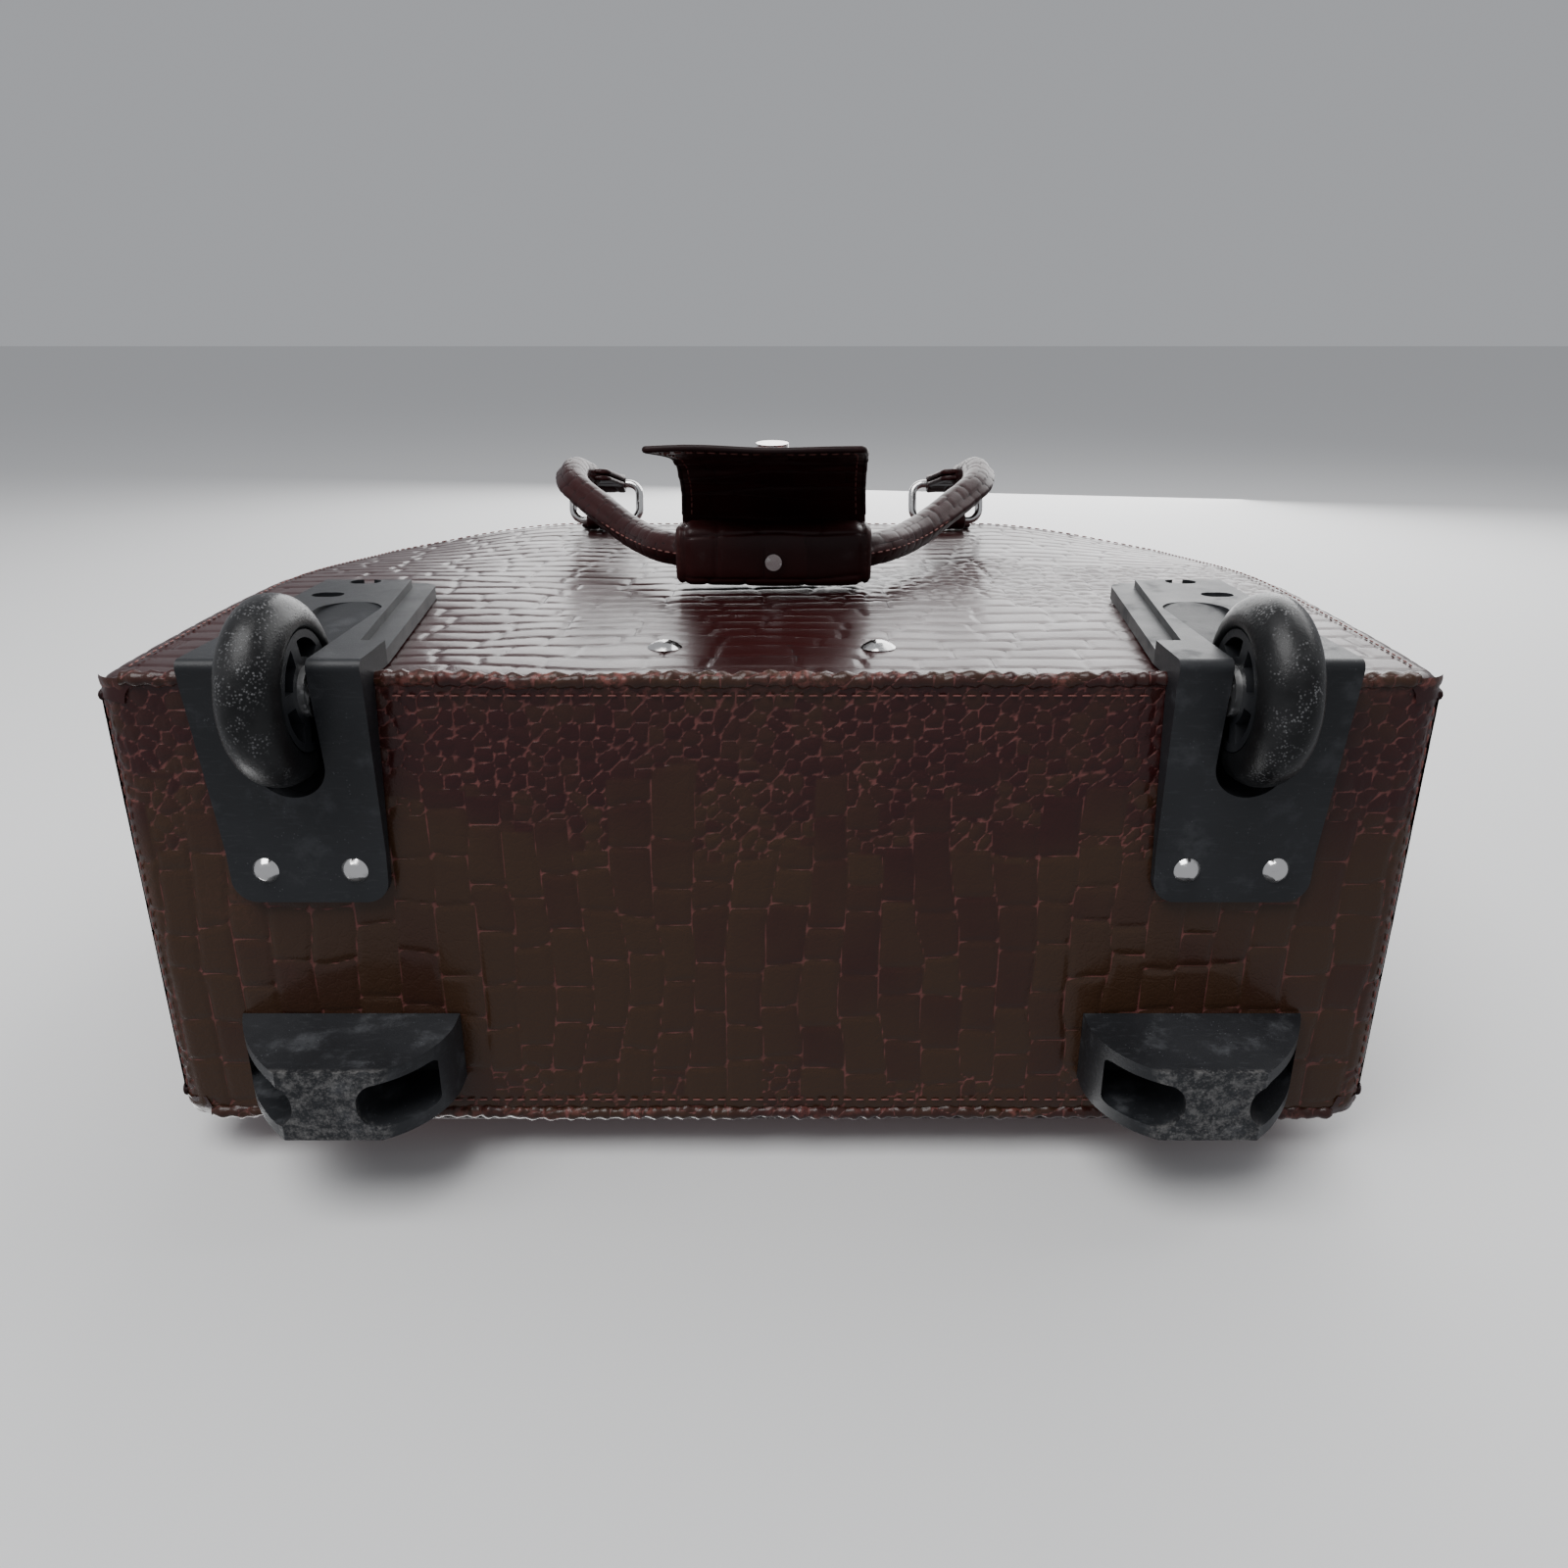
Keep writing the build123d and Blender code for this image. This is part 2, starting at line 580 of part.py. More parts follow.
# ---------------------------------------------------------------- feet
def make_feet():
    """The moulded skids under the front of the base."""
    outer = FOOT_X + FOOT_LONG / 2
    y1 = Y_REAR - FOOT_BACK_Y
    y0 = y1 - FOOT_DEEP
    inner = outer - FOOT_LONG
    heel, toe = (outer - u for u in FOOT_SOLE)
    lines = [
        Line((outer, Z_BASE), (inner, Z_BASE)),
        Line((inner, Z_BASE), (inner, Z_BASE - FOOT_BASE)),
        ThreePointArc((inner, Z_BASE - FOOT_BASE), (inner + FOOT_BELLY[0], FOOT_BELLY[1]), (toe, 0)),
        Line((toe, 0), (heel, 0)),
        ThreePointArc((heel, 0), (outer - FOOT_HEEL[0], FOOT_HEEL[1]), (outer, Z_BASE)),
    ]
    face = make_face([Rot(90, 0, 0) * line for line in lines])
    foot = extrude(Pos(0, y0, 0) * face, amount=FOOT_DEEP, dir=(0, 1, 0))
    top = Z_BASE - FOOT_BASE
    y_back = y1 - FOOT_WALL
    y_front = y0 + FOOT_WALL
    inner_pocket = block(inner + FOOT_END_WALL, outer - FOOT_WEB[1], y_front, y_back, -1, top)
    outer_pocket = block(outer - FOOT_WEB[0], outer - FOOT_END_WALL, y_front, y_back, -1, top)
    for pocket, end in ((inner_pocket, inner), (outer_pocket, outer)):
        corners = pocket.edges().filter_by(Axis.Z).sort_by(lambda edge: abs(edge.center().X - end))
        pocket = fillet(corners[:2], FOOT_END_R)
        corners = pocket.edges().filter_by(Axis.Z).sort_by(lambda edge: abs(edge.center().X - end))
        foot -= fillet(corners[-2:], FOOT_POCKET_R)
    x, y = foot_rivet_place(1)
    foot -= rod_z(SHANK_R, 0, Z_BASE + 1, x, y)
    save("foot_right", foot)
    save("foot_left", mirrored(foot))


# ---------------------------------------------------------------- rivets
def dome(radius):
    """A domed rivet head, flat face on the origin, pointing along +Z."""
    ball_r = (radius ** 2 + RIVET_DOME ** 2) / (2 * RIVET_DOME)
    ball = Pos(0, 0, RIVET_DOME - ball_r) * Sphere(ball_r)
    return ball & Pos(0, 0, RIVET_DOME) * Cylinder(BIG, RIVET_DOME * 2)


def rivet(radius, shank):
    """A rivet: a dome and the shank behind it."""
    return dome(radius) + Pos(0, 0, -shank / 2) * Cylinder(SHANK_R, shank)


def make_rivets():
    """All rivets and the housing screws."""
    down = Rot(180, 0, 0)
    back = Rot(-90, 0, 0)
    housing = []
    feet = []
    screws = []
    for side in (-1, 1):
        for x, y in housing_rivet_places(side):
            housing.append(Pos(x, y, Z_BASE - HOUSING_PLATE) * down * rivet(HOUSING_RIVET_R, HOUSING_PLATE))
        x, y = foot_rivet_place(side)
        feet.append(Pos(x, y, Z_BASE - FOOT_BASE) * down * rivet(FOOT_RIVET_R, FOOT_BASE + SKIN))
        for x, z in screw_places(side):
            seat = Y_REAR + HOUSING_HOOD - RECESS_DEPTH
            head = rod_y(SCREW_R, seat, seat + SCREW_HEAD, x, z)
            y0 = seat + SCREW_HEAD - CROSS_DEEP
            y1 = seat + SCREW_HEAD + 1
            cross = block(x - CROSS_HALF, x + CROSS_HALF, y0, y1, z - CROSS_SLOT, z + CROSS_SLOT)
            cross += block(x - CROSS_SLOT, x + CROSS_SLOT, y0, y1, z - CROSS_HALF, z + CROSS_HALF)
            shank = rod_y(SHANK_R, Y_REAR - SKIN, seat, x, z)
            screws.append(head - cross + shank)
    save("housing_rivets", *housing)
    save("foot_rivets", *feet)
    save("housing_screws", *screws)
    long = SKIN + BOARD + TONGUE_THICK
    trolley = [Pos(s * TROLLEY_RIVET_X, Y_REAR, Z_BASE + TROLLEY_RIVET_Z) * back * rivet(TROLLEY_RIVET_R, long)
               for s in (-1, 1)]
    save("trolley_rivets", *trolley)


# ---------------------------------------------------------------- extending handle
def tube_pair(outer, wall, z0, z1):
    """Two round tubes side by side."""
    return [rod_z(outer, z0, z1, x, TUBE_Y) - rod_z(outer - wall, z0 - 1, z1 + 1, x, TUBE_Y)
            for x in (-TUBE_X, TUBE_X)]


def make_trolley():
    """The telescopic handle, its bracket, bezel, grip and button."""
    mid_r = TUBE_R - TUBE_WALL - TUBE_GAP
    inner_r = mid_r - TUBE_WALL - TUBE_GAP
    bezel_top = Z_TOP + BEZEL_THICK
    grip_z = bezel_top + GRIP_GAP
    z0 = Z_BASE + TUBE_FLOOR
    save("trolley_outer_tubes", *tube_pair(TUBE_R, TUBE_WALL, z0, bezel_top))
    save("trolley_mid_tubes", *tube_pair(mid_r, TUBE_WALL, z0 + STAGE_STEP, bezel_top + GRIP_GAP / 2))
    save("trolley_inner_tubes", *tube_pair(inner_r, TUBE_WALL, z0 + 2 * STAGE_STEP, grip_z + GRIP_SOCKET))
    bezel = block(-BEZEL_HALF_X, BEZEL_HALF_X, TUBE_Y - BEZEL_HALF_Y, TUBE_Y + BEZEL_HALF_Y, Z_TOP, bezel_top)
    bezel = fillet(bezel.edges().filter_by(Axis.Z), BEZEL_R)
    for x in (-TUBE_X, TUBE_X):
        bezel -= rod_z(TUBE_R, Z_TOP - 1, bezel_top + 1, x, TUBE_Y)
    save("trolley_bezel", bezel)
    front = TUBE_Y - TUBE_R - BOARD
    back = Y_REAR - SKIN - BOARD
    foot = Z_BASE + SKIN + BOARD
    bracket = block(-BRACKET_HALF, BRACKET_HALF, front, back, foot, foot + BRACKET_TALL)
    bracket += block(-TONGUE_HALF, TONGUE_HALF, back - TONGUE_THICK, back, foot, foot + TONGUE_TALL)
    for x in (-TUBE_X, TUBE_X):
        bracket -= rod_z(TUBE_R, z0, foot + BRACKET_TALL + 1, x, TUBE_Y)
    for s in (-1, 1):
        bracket -= rod_y(SHANK_R, front - 1, back + 1, s * TROLLEY_RIVET_X, Z_BASE + TROLLEY_RIVET_Z)
    save("trolley_bracket", bracket)
    grip = block(-GRIP_HALF_X, GRIP_HALF_X, TUBE_Y - GRIP_HALF_Y, TUBE_Y + GRIP_HALF_Y, grip_z, grip_z + GRIP_HEIGHT)
    grip = fillet(grip.edges(), GRIP_R)
    for x in (-TUBE_X, TUBE_X):
        grip -= rod_z(inner_r, grip_z - 1, grip_z + GRIP_SOCKET, x, TUBE_Y)
    top = grip_z + GRIP_HEIGHT
    ease = TOUCH_GAP
    grip -= block(-BUTTON_LONG / 2 - ease, BUTTON_LONG / 2 + ease, TUBE_Y - BUTTON_WIDE / 2 - ease,
                  TUBE_Y + BUTTON_WIDE / 2 + ease, top - BUTTON_POCKET, top + 1)
    save("trolley_grip", grip)
    button = block(-BUTTON_LONG / 2, BUTTON_LONG / 2, TUBE_Y - BUTTON_WIDE / 2, TUBE_Y + BUTTON_WIDE / 2,
                   top + BUTTON_PROUD - BUTTON_TALL, top + BUTTON_PROUD)
    edges = button.faces().sort_by(Axis.Z)[-1].edges()
    save("trolley_button", fillet(edges, BUTTON_R))


# ---------------------------------------------------------------- zips
def comb(x0, x1, side):
    """A row of zip teeth along X, lying on Z = 0, its teeth tips at Y = 0."""
    points = [(x0, TEETH_WIDTH)]
    count = int((x1 - x0) / TOOTH_PITCH)
    start = (x0 + x1) / 2 - count * TOOTH_PITCH / 2
    points.append((x0, TOOTH_DEEP))
    for k in range(count):
        a = start + k * TOOTH_PITCH + (TOOTH_PITCH - TOOTH_LONG) / 2
        points += [(a, TOOTH_DEEP), (a, 0), (a + TOOTH_LONG, 0), (a + TOOTH_LONG, TOOTH_DEEP)]
    points += [(x1, TOOTH_DEEP), (x1, TEETH_WIDTH)]
    return plan_prism([(x, side * y) for x, y in points], -TEETH_THICK, 0)


def slider():
    """A zip slider: plates over and under the teeth, a neck, lugs and a cross pin."""
    half = SLIDER_LONG / 2
    wide = SLIDER_WIDE / 2
    over = TOUCH_GAP
    upper = block(-half, half, -wide, wide, over, over + SLIDER_PLATE)
    upper = fillet(upper.edges().filter_by(Axis.Z), SLIDER_LONG / 5)
    under = -SKIN - TOUCH_GAP
    lower_wide = ZIP_GAP / 2 + TEETH_WIDTH - TOUCH_GAP
    lower = block(-half, half, -lower_wide, lower_wide, under - SLIDER_PLATE, under)
    neck = block(-NECK_LONG / 2, NECK_LONG / 2, -NECK_WIDE / 2, NECK_WIDE / 2, under - 0.1, over + 0.1)
    body = upper + lower + neck
    lug_y = LUG_GAP / 2
    top = over + SLIDER_PLATE
    pin_z = top + LUG_TALL - LUG_THICK - PIN_R
    for s in (-1, 1):
        body += block(-LUG_HALF, LUG_HALF, s * lug_y, s * (lug_y + LUG_THICK), top, top + LUG_TALL)
    return body + rod_y(PIN_R, -lug_y - 0.1, lug_y + 0.1, 0, pin_z)


def pull():
    """A zip pull: an eye round the slider's pin and a flat tab pointing along -X."""
    pin_z = TOUCH_GAP + SLIDER_PLATE + LUG_TALL - LUG_THICK - PIN_R
    eye_half = LUG_GAP / 2 - PULL_SIDE_GAP
    eye = rod_y(PULL_EYE_R, -eye_half, eye_half, 0, pin_z)
    z0 = pin_z - PULL_THICK / 2
    z1 = pin_z + PULL_THICK / 2
    stem = block(-PULL_STEM, 0, -eye_half, eye_half, z0, z1)
    tab = block(-PULL_LONG, PULL_LAP - PULL_STEM, -PULL_WIDE / 2, PULL_WIDE / 2, z0, z1)
    tab = fillet(tab.edges().filter_by(Axis.Z), PULL_CORNER_R)
    hole = rod_z(PULL_HOLE_R, z0 - 1, z1 + 1, PULL_HOLE_IN - PULL_LONG, 0)
    return eye + stem + tab - hole - rod_y(PIN_R + PIN_CLEAR, -LUG_GAP, LUG_GAP, 0, pin_z)


def make_lids():
    """The two top lids, hinged at their outer edges, with zip teeth between them."""
    reach = ZIP_GAP / 2 + TEETH_WIDTH
    rear = block(-LID_HALF + LID_GAP, LID_HALF - LID_GAP, ZIP_Y + reach, LID_BACK - LID_GAP, Z_TOP - SKIN, Z_TOP)
    front = block(-LID_HALF + LID_GAP, LID_HALF - LID_GAP, LID_FRONT + LID_GAP, ZIP_Y - reach, Z_TOP - SKIN, Z_TOP)
    save("lid_rear", rear)
    save("lid_front", front)
    z = Z_TOP - TEETH_DROP
    ends = []
    for side, name in ((1, "rear"), (-1, "front")):
        place = Pos(0, ZIP_Y + side * ZIP_GAP / 2, z)
        save("zip_teeth_" + name, place * comb(-LID_HALF + LID_GAP, LID_HALF - LID_GAP, side))
        ends.append(place * comb(LID_HALF, ZIP_END, side))
        ends.append(place * comb(-ZIP_END, -LID_HALF, side))
    save("zip_ends", *ends)
    place = Pos(SLIDER_PARK, ZIP_Y, Z_TOP)
    save("zip_slider", place * slider())
    save("zip_pull", place * pull())


def make_pocket():
    """The flat front pocket with a zip in a groove across it."""
    face = Y_FRONT - POCKET_THICK
    z0 = Z_BASE + POCKET_FOOT
    z1 = Z_BASE + POCKET_TOP
    pocket = block(-POCKET_HALF, POCKET_HALF, face, Y_FRONT, z0, z1)
    pocket = fillet(pocket.edges().filter_by(Axis.Y), POCKET_CORNER_R)
    pocket = fillet(pocket.faces().sort_by(Axis.Y)[0].edges(), POCKET_EDGE_R)
    half = ZIP_GAP / 2 + TEETH_WIDTH
    z = Z_BASE + POCKET_ZIP_Z
    pocket -= block(-POCKET_ZIP_HALF, POCKET_ZIP_HALF, face - 1, face + GROOVE_DEEP, z - half, z + half)
    save("front_pocket", pocket)
    turn = Rot(90, 0, 0)
    rows = [Pos(0, face + TEETH_DROP, z + s * ZIP_GAP / 2) * turn * comb(-POCKET_ZIP_HALF, POCKET_ZIP_HALF, s)
            for s in (-1, 1)]
    save("pocket_zip_teeth", *rows)
    place = Pos(POCKET_PARK, face, z) * turn
    save("pocket_slider", place * slider())
    save("pocket_pull", place * pull())


# ---------------------------------------------------------------- carrying handles
def out_y(front, amount):
    """Y at a distance out from the back face, or from the front face."""
    return Y_FRONT - amount if front else Y_REAR + amount


def ring(front):
    """One chrome ring on its pivot, reaching out from the panel."""
    long = hypot(RING_REACH_OUT, RING_REACH_UP)
    path = RectangleRounded(RING_LONG, long, RING_CORNER_R).wire()
    start = Plane(path @ 0, z_dir=path % 0)
    bar = sweep(start * Circle(RING_WIRE_R), path=path)
    tilt = degrees(atan2(RING_REACH_UP, RING_REACH_OUT))
    bar = Rot(tilt, 0, 0) * Pos(0, long / 2, 0) * bar
    if front:
        bar = mirror(bar, about=Plane.XZ)
    return Pos(0, out_y(front, RING_PIVOT_OUT), Z_BASE + RING_PIVOT_Z) * bar


def chape(front):
    """A short leather strap sewn to the panel, folded round the ring's pivot bar."""
    z = Z_BASE + RING_PIVOT_Z
    wall = out_y(front, 0)
    skin = out_y(front, CHAPE_THICK)
    pivot = out_y(front, RING_PIVOT_OUT)
    half = CHAPE_WIDE / 2
    neck = CHAPE_NECK / 2
    bore = RING_WIRE_R + PIN_CLEAR
    strap = block(-half, half, min(wall, skin), max(wall, skin), z + CHAPE_LOOP_R, z + CHAPE_TOP)
    strap = fillet(strap.edges().filter_by(Axis.Y), CHAPE_CORNER_R)
    fold = rod_x(CHAPE_LOOP_R, -neck, neck, pivot, z)
    fold += block(-neck, neck, min(wall, pivot), max(wall, pivot), z - CHAPE_THICK, z + CHAPE_LOOP_R)
    fold += block(-neck, neck, min(wall, skin), max(wall, skin), z, z + CHAPE_TOP / 2)
    return strap + fold - rod_x(bore, -half - 1, half + 1, pivot, z)


def far_bar(front):
    """Where the handle hangs on the ring, as (y, z)."""
    return (out_y(front, RING_PIVOT_OUT + RING_REACH_OUT), Z_BASE + RING_PIVOT_Z + RING_REACH_UP)


def handle_points(front):
    """The middle of the rolled handle, from one ring round to the other."""
    _, bar_z = far_bar(front)
    outs = FRONT_OUT if front else REAR_OUT
    half = [(x, out_y(front, o), bar_z - d) for x, d, o in zip(HANDLE_X, HANDLE_DOWN, outs)]
    return [(-x, y, z) for x, y, z in half] + half[::-1]


def handle_tab(front):
    """The flat end of a handle, folded round the ring's far bar."""
    y, z = far_bar(front)
    tx, ty, tz = handle_points(front)[-1]
    drop = z - tz
    away = abs(ty - y)
    bore = RING_WIRE_R + PIN_CLEAR
    tab = block(-TAB_WIDE / 2, TAB_WIDE / 2, -TAB_THICK / 2, TAB_THICK / 2, -TAB_LONG, -TAB_OVER)
    tab = Rot(0, -degrees(atan2(tx - RING_X, drop)), 0) * fillet(tab.edges().filter_by(Axis.Y), TAB_CORNER_R)
    neck = CHAPE_NECK / 2
    tab += block(-neck, neck, -TAB_THICK / 2, TAB_THICK / 2, -TAB_OVER - TAB_NECK_LAP, 0)
    tab += rod_x(TAB_LOOP_R, -neck, neck, 0, 0)
    tab -= rod_x(bore, -TAB_WIDE, TAB_WIDE, 0, 0)
    lean = degrees(atan2(away, drop))
    return Pos(0, y, z) * Rot(-lean if front else lean, 0, 0) * tab


def make_handle(front, name):
    """A carrying handle: chapes, rings, tabs, rolled leather, wrap, flap, stud and socket."""
    xs = (-RING_X, RING_X)
    save("chapes_" + name, *[Pos(x, 0, 0) * chape(front) for x in xs])
    save("rings_" + name, *[Pos(x, 0, 0) * ring(front) for x in xs])
    tab = handle_tab(front)
    right = Pos(RING_X, 0, 0) * tab
    tabs = [mirrored(right), right]
    points = handle_points(front)
    y, z = far_bar(front)
    last = Vector(*points[-1])
    bar = Vector(RING_X, y, z)
    end = bar + (last - bar).normalized() * (TAB_LONG - TAB_OVER / 2)
    start = Vector(-end.X, end.Y, end.Z)
    path = Spline(start, *points, end)
    roll = sweep(Plane(path @ 0, z_dir=path % 0) * Circle(ROLL_R), path=path)
    for piece in tabs:
        roll -= piece
    save("handle_tabs_" + name, *tabs)
    save("handle_roll_" + name, roll)
    outs = FRONT_OUT if front else REAR_OUT
    wy = out_y(front, outs[-1])
    wz = z - WRAP_DOWN
    half_y = WRAP_THICK / 2
    half_z = WRAP_TALL / 2
    wrap = block(-WRAP_HALF, WRAP_HALF, wy - half_y, wy + half_y, wz - half_z, wz + half_z)
    wrap = fillet(wrap.edges().filter_by(Axis.X), WRAP_R)
    save("wrap_band_" + name, wrap - roll)
    sign = -1 if front else 1
    inner_y = wy - sign * (half_y - WRAP_R - STUD_IN)
    stud = rod_z(STUD_R, wz - half_z - STUD_TALL, wz - half_z, 0, inner_y)
    save("wrap_stud_" + name, stud)
    make_flap(front, name, wy + sign * (half_y - FLAP_THICK), wz + half_z)


def make_flap(front, name, hinge_y, top):
    """The snap flap of a handle wrap, hinged along the wrap's upper outer edge."""
    sign = -1 if front else 1
    profile = FRONT_FLAP if front else REAR_FLAP
    hinge_z = top + HINGE_R - HINGE_SINK
    points = [(-FLAP_HALF, hinge_y + sign * a, hinge_z + b) for a, b in profile]
    line = Spline(*points)
    start = Plane(line @ 0, x_dir=(1, 0, 0), z_dir=line % 0)
    strip = sweep(start * Pos(FLAP_HALF, 0, 0) * Rectangle(2 * FLAP_HALF, FLAP_THICK), path=line)
    _, end_y, end_z = line @ 1
    along = line % 1
    depth = FLAP_THICK / 2 - SOCKET_TALL / 2 + SOCKET_PROUD
    face = Vector(0, sign * along.Z, -sign * along.Y)
    centre = Vector(0, end_y, end_z) - along * SOCKET_FROM_END + face * depth
    socket = Plane(centre, x_dir=(1, 0, 0), z_dir=face) * Cylinder(SOCKET_R, SOCKET_TALL)
    save("wrap_flap_" + name, strip - socket)
    save("wrap_socket_" + name, socket)


def main():
    os.makedirs("parts", exist_ok=True)
    make_shell()
    make_boards()
    make_lining()
    make_wheel(-1, "left")
    make_wheel(1, "right")
    make_axles()
    make_housings()
    make_feet()
    make_rivets()
    make_trolley()
    make_lids()
    make_pocket()
    make_handle(False, "rear")
    make_handle(True, "front")


main()
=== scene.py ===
import math

import bmesh
import bpy
import numpy as np
from mathutils import Matrix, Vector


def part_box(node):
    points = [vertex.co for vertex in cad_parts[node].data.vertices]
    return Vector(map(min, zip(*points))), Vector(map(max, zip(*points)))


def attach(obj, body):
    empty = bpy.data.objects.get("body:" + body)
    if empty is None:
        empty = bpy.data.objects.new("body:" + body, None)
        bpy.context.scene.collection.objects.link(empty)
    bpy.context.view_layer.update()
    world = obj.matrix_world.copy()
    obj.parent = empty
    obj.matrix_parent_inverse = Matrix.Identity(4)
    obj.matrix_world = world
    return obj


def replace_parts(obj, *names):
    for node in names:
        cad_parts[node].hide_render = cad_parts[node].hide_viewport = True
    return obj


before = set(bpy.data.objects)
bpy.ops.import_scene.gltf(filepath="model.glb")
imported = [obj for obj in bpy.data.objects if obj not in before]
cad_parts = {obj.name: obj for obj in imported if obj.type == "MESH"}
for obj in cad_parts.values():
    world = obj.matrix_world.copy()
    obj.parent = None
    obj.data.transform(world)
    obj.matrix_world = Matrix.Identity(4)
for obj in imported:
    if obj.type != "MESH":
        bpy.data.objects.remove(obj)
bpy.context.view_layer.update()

bl_info = {
    "name": "Rolling laptop case",
    "version": (1, 0, 0),
    "blender": (4, 5, 0),
    "location": "View3D > Sidebar > Case",
    "description": "Builds the leather, fittings and studio of a rolling laptop case on its CAD frame",
    "category": "Object",
}

MM = 0.001


# ------------------------------------------------------------------ where the frame is
def spot(node):
    """Lowest and highest corner of a CAD node, in millimetres."""
    low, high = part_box(node)
    return np.array(low) / MM, np.array(high) / MM


BACK_LOW, BACK_HIGH = spot("back_panel")
FRONT_LOW, FRONT_HIGH = spot("front_panel")
BOTTOM_LOW, BOTTOM_HIGH = spot("bottom_panel")
Y_REAR = BACK_HIGH[1]
Y_FRONT = FRONT_LOW[1]
Z_BASE = BOTTOM_LOW[2]
HEIGHT = BACK_HIGH[2] - Z_BASE
HALF = 215.0  # half the width at the base
CORNER = 12.0  # radius of the lower corners
TOP_R = 55.0  # radius of the top corners
RIM = 8.0  # radius of the rolled edge round the back and front
TYRE_LOW, TYRE_HIGH = spot("tyre_right")
WHEEL_X = (TYRE_LOW[0] + TYRE_HIGH[0]) / 2
WELL_HALF = 16.9  # the leather's opening round a wheel: half its width, its depth and its height
WELL_DEEP = 42.3
WELL_TALL = 33.4


# ------------------------------------------------------------------ repeatable noise
def hash01(i, j, seed):
    """A repeatable number in 0 to 1 for a pair of whole numbers: the fraction of a large sine."""
    v = np.sin(i * 127.1 + j * 311.7 + seed * 74.7) * 43758.5453
    return v - np.floor(v)


def cloud(x, y, cell, seed):
    """Smooth noise from -1 to 1: random values on a square lattice, eased between its corners."""
    a, b = x / cell, y / cell
    i, j = np.floor(a), np.floor(b)
    u, v = a - i, b - j
    u, v = u * u * (3 - 2 * u), v * v * (3 - 2 * v)
    low = hash01(i, j, seed) * (1 - u) + hash01(i + 1, j, seed) * u
    high = hash01(i, j + 1, seed) * (1 - u) + hash01(i + 1, j + 1, seed) * u
    return 2 * (low * (1 - v) + high * v) - 1


def ease(x, a, b):
    """0 below a, 1 above b, a smooth cubic between."""
    t = np.clip((x - a) / (b - a), 0, 1)
    return t * t * (3 - 2 * t)


def unit(v):
    """Vectors brought to length 1 along their last axis."""
    return v / np.maximum(np.linalg.norm(v, axis=-1, keepdims=True), 1e-9)


def lengths(path):
    """Distance along a path of points from its start."""
    return np.concatenate([[0], np.cumsum(np.linalg.norm(np.diff(path, axis=0), axis=1))])


def points_at(x, y, z):
    """Points from three coordinates, each a number or an array."""
    return np.stack(np.broadcast_arrays(x, y, z), axis=-1).astype(float)


def turns(count):
    """Evenly spaced angles round a circle."""
    return np.linspace(0, 2 * np.pi, count, endpoint=False)


def squared(turn, power):
    """Cosine and sine raised to a power with their signs kept: a circle swelled towards a square."""
    return tuple(np.sign(k) * np.abs(k) ** power for k in (np.cos(turn), np.sin(turn)))


def quarter(radius, over):
    """How far a rounded corner has fallen away where it is over past its start."""
    return radius - np.sqrt(np.clip(radius ** 2 - over ** 2, 0, None))


def panel(end):
    """The face that an end's handle hangs on, and which way it looks along y."""
    return (Y_REAR, 1) if end == "rear" else (Y_FRONT, -1)


def settle(obj, body, node=None):
    """Fix a piece to its body, and hide the CAD node it stands for."""
    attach(obj, body)
    if node:
        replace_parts(obj, node)
    return obj


# ------------------------------------------------------------------ crocodile pattern
def rows(u, v, pitch_u, pitch_v, seed, wave=0.35, stretch=55.0):
    """Scales in wavy rows along u: distance to the nearest groove, a tone per scale and the scale's cell and row
    numbers.
    Rows are lines of equal v bent by noise; the short joints in a row are shifted and jittered."""
    r = v / pitch_v + wave * cloud(u, v, stretch, seed) + 0.12 * cloud(u, v, 17.0, seed + 5)
    row = np.floor(r)
    dv = np.minimum(r - row, row + 1 - r) * pitch_v
    c = u / pitch_u + hash01(row, row * 0, seed + 1) * 3 + 0.10 * cloud(u, v, 14.0, seed + 2)
    k = np.floor(c)
    best = np.full(u.shape, 1e3)
    cell = k.copy()
    for step in (-1, 0, 1, 2):
        line = k + step + 0.55 * (hash01(k + step, row, seed + 3) - 0.5)
        best = np.minimum(best, np.abs(c - line) * pitch_u)
        cell = np.where(c > line, k + step, cell)
    soft = 1.6
    d = np.minimum(dv, best) - soft * 0.25 * np.clip(1 - np.abs(dv - best) / soft, 0, 1) ** 2
    return np.clip(d, 0, None), hash01(cell, row, seed + 4), cell, row


def pebbles(u, v, pitch, seed):
    """Small rounded scales: distance to the edge between the two nearest jittered lattice points."""
    a, b = u / pitch, v / pitch
    i, j = np.floor(a), np.floor(b)
    f1 = np.full(u.shape, 1e3)
    f2 = np.full(u.shape, 1e3)
    tone = np.zeros(u.shape)
    for di in (-1, 0, 1):
        for dj in (-1, 0, 1):
            ii, jj = i + di, j + dj
            px = ii + 0.5 + 0.75 * (hash01(ii, jj, seed) - 0.5) + 0.25 * (jj % 2)
            py = jj + 0.5 + 0.75 * (hash01(ii, jj, seed + 9) - 0.5)
            dist = np.hypot(a - px, b - py)
            near = dist < f1
            f2 = np.where(near, f1, np.minimum(f2, dist))
            tone = np.where(near, hash01(ii, jj, seed + 7), tone)
            f1 = np.where(near, dist, f1)
    return (f2 - f1) * 0.5 * pitch, tone


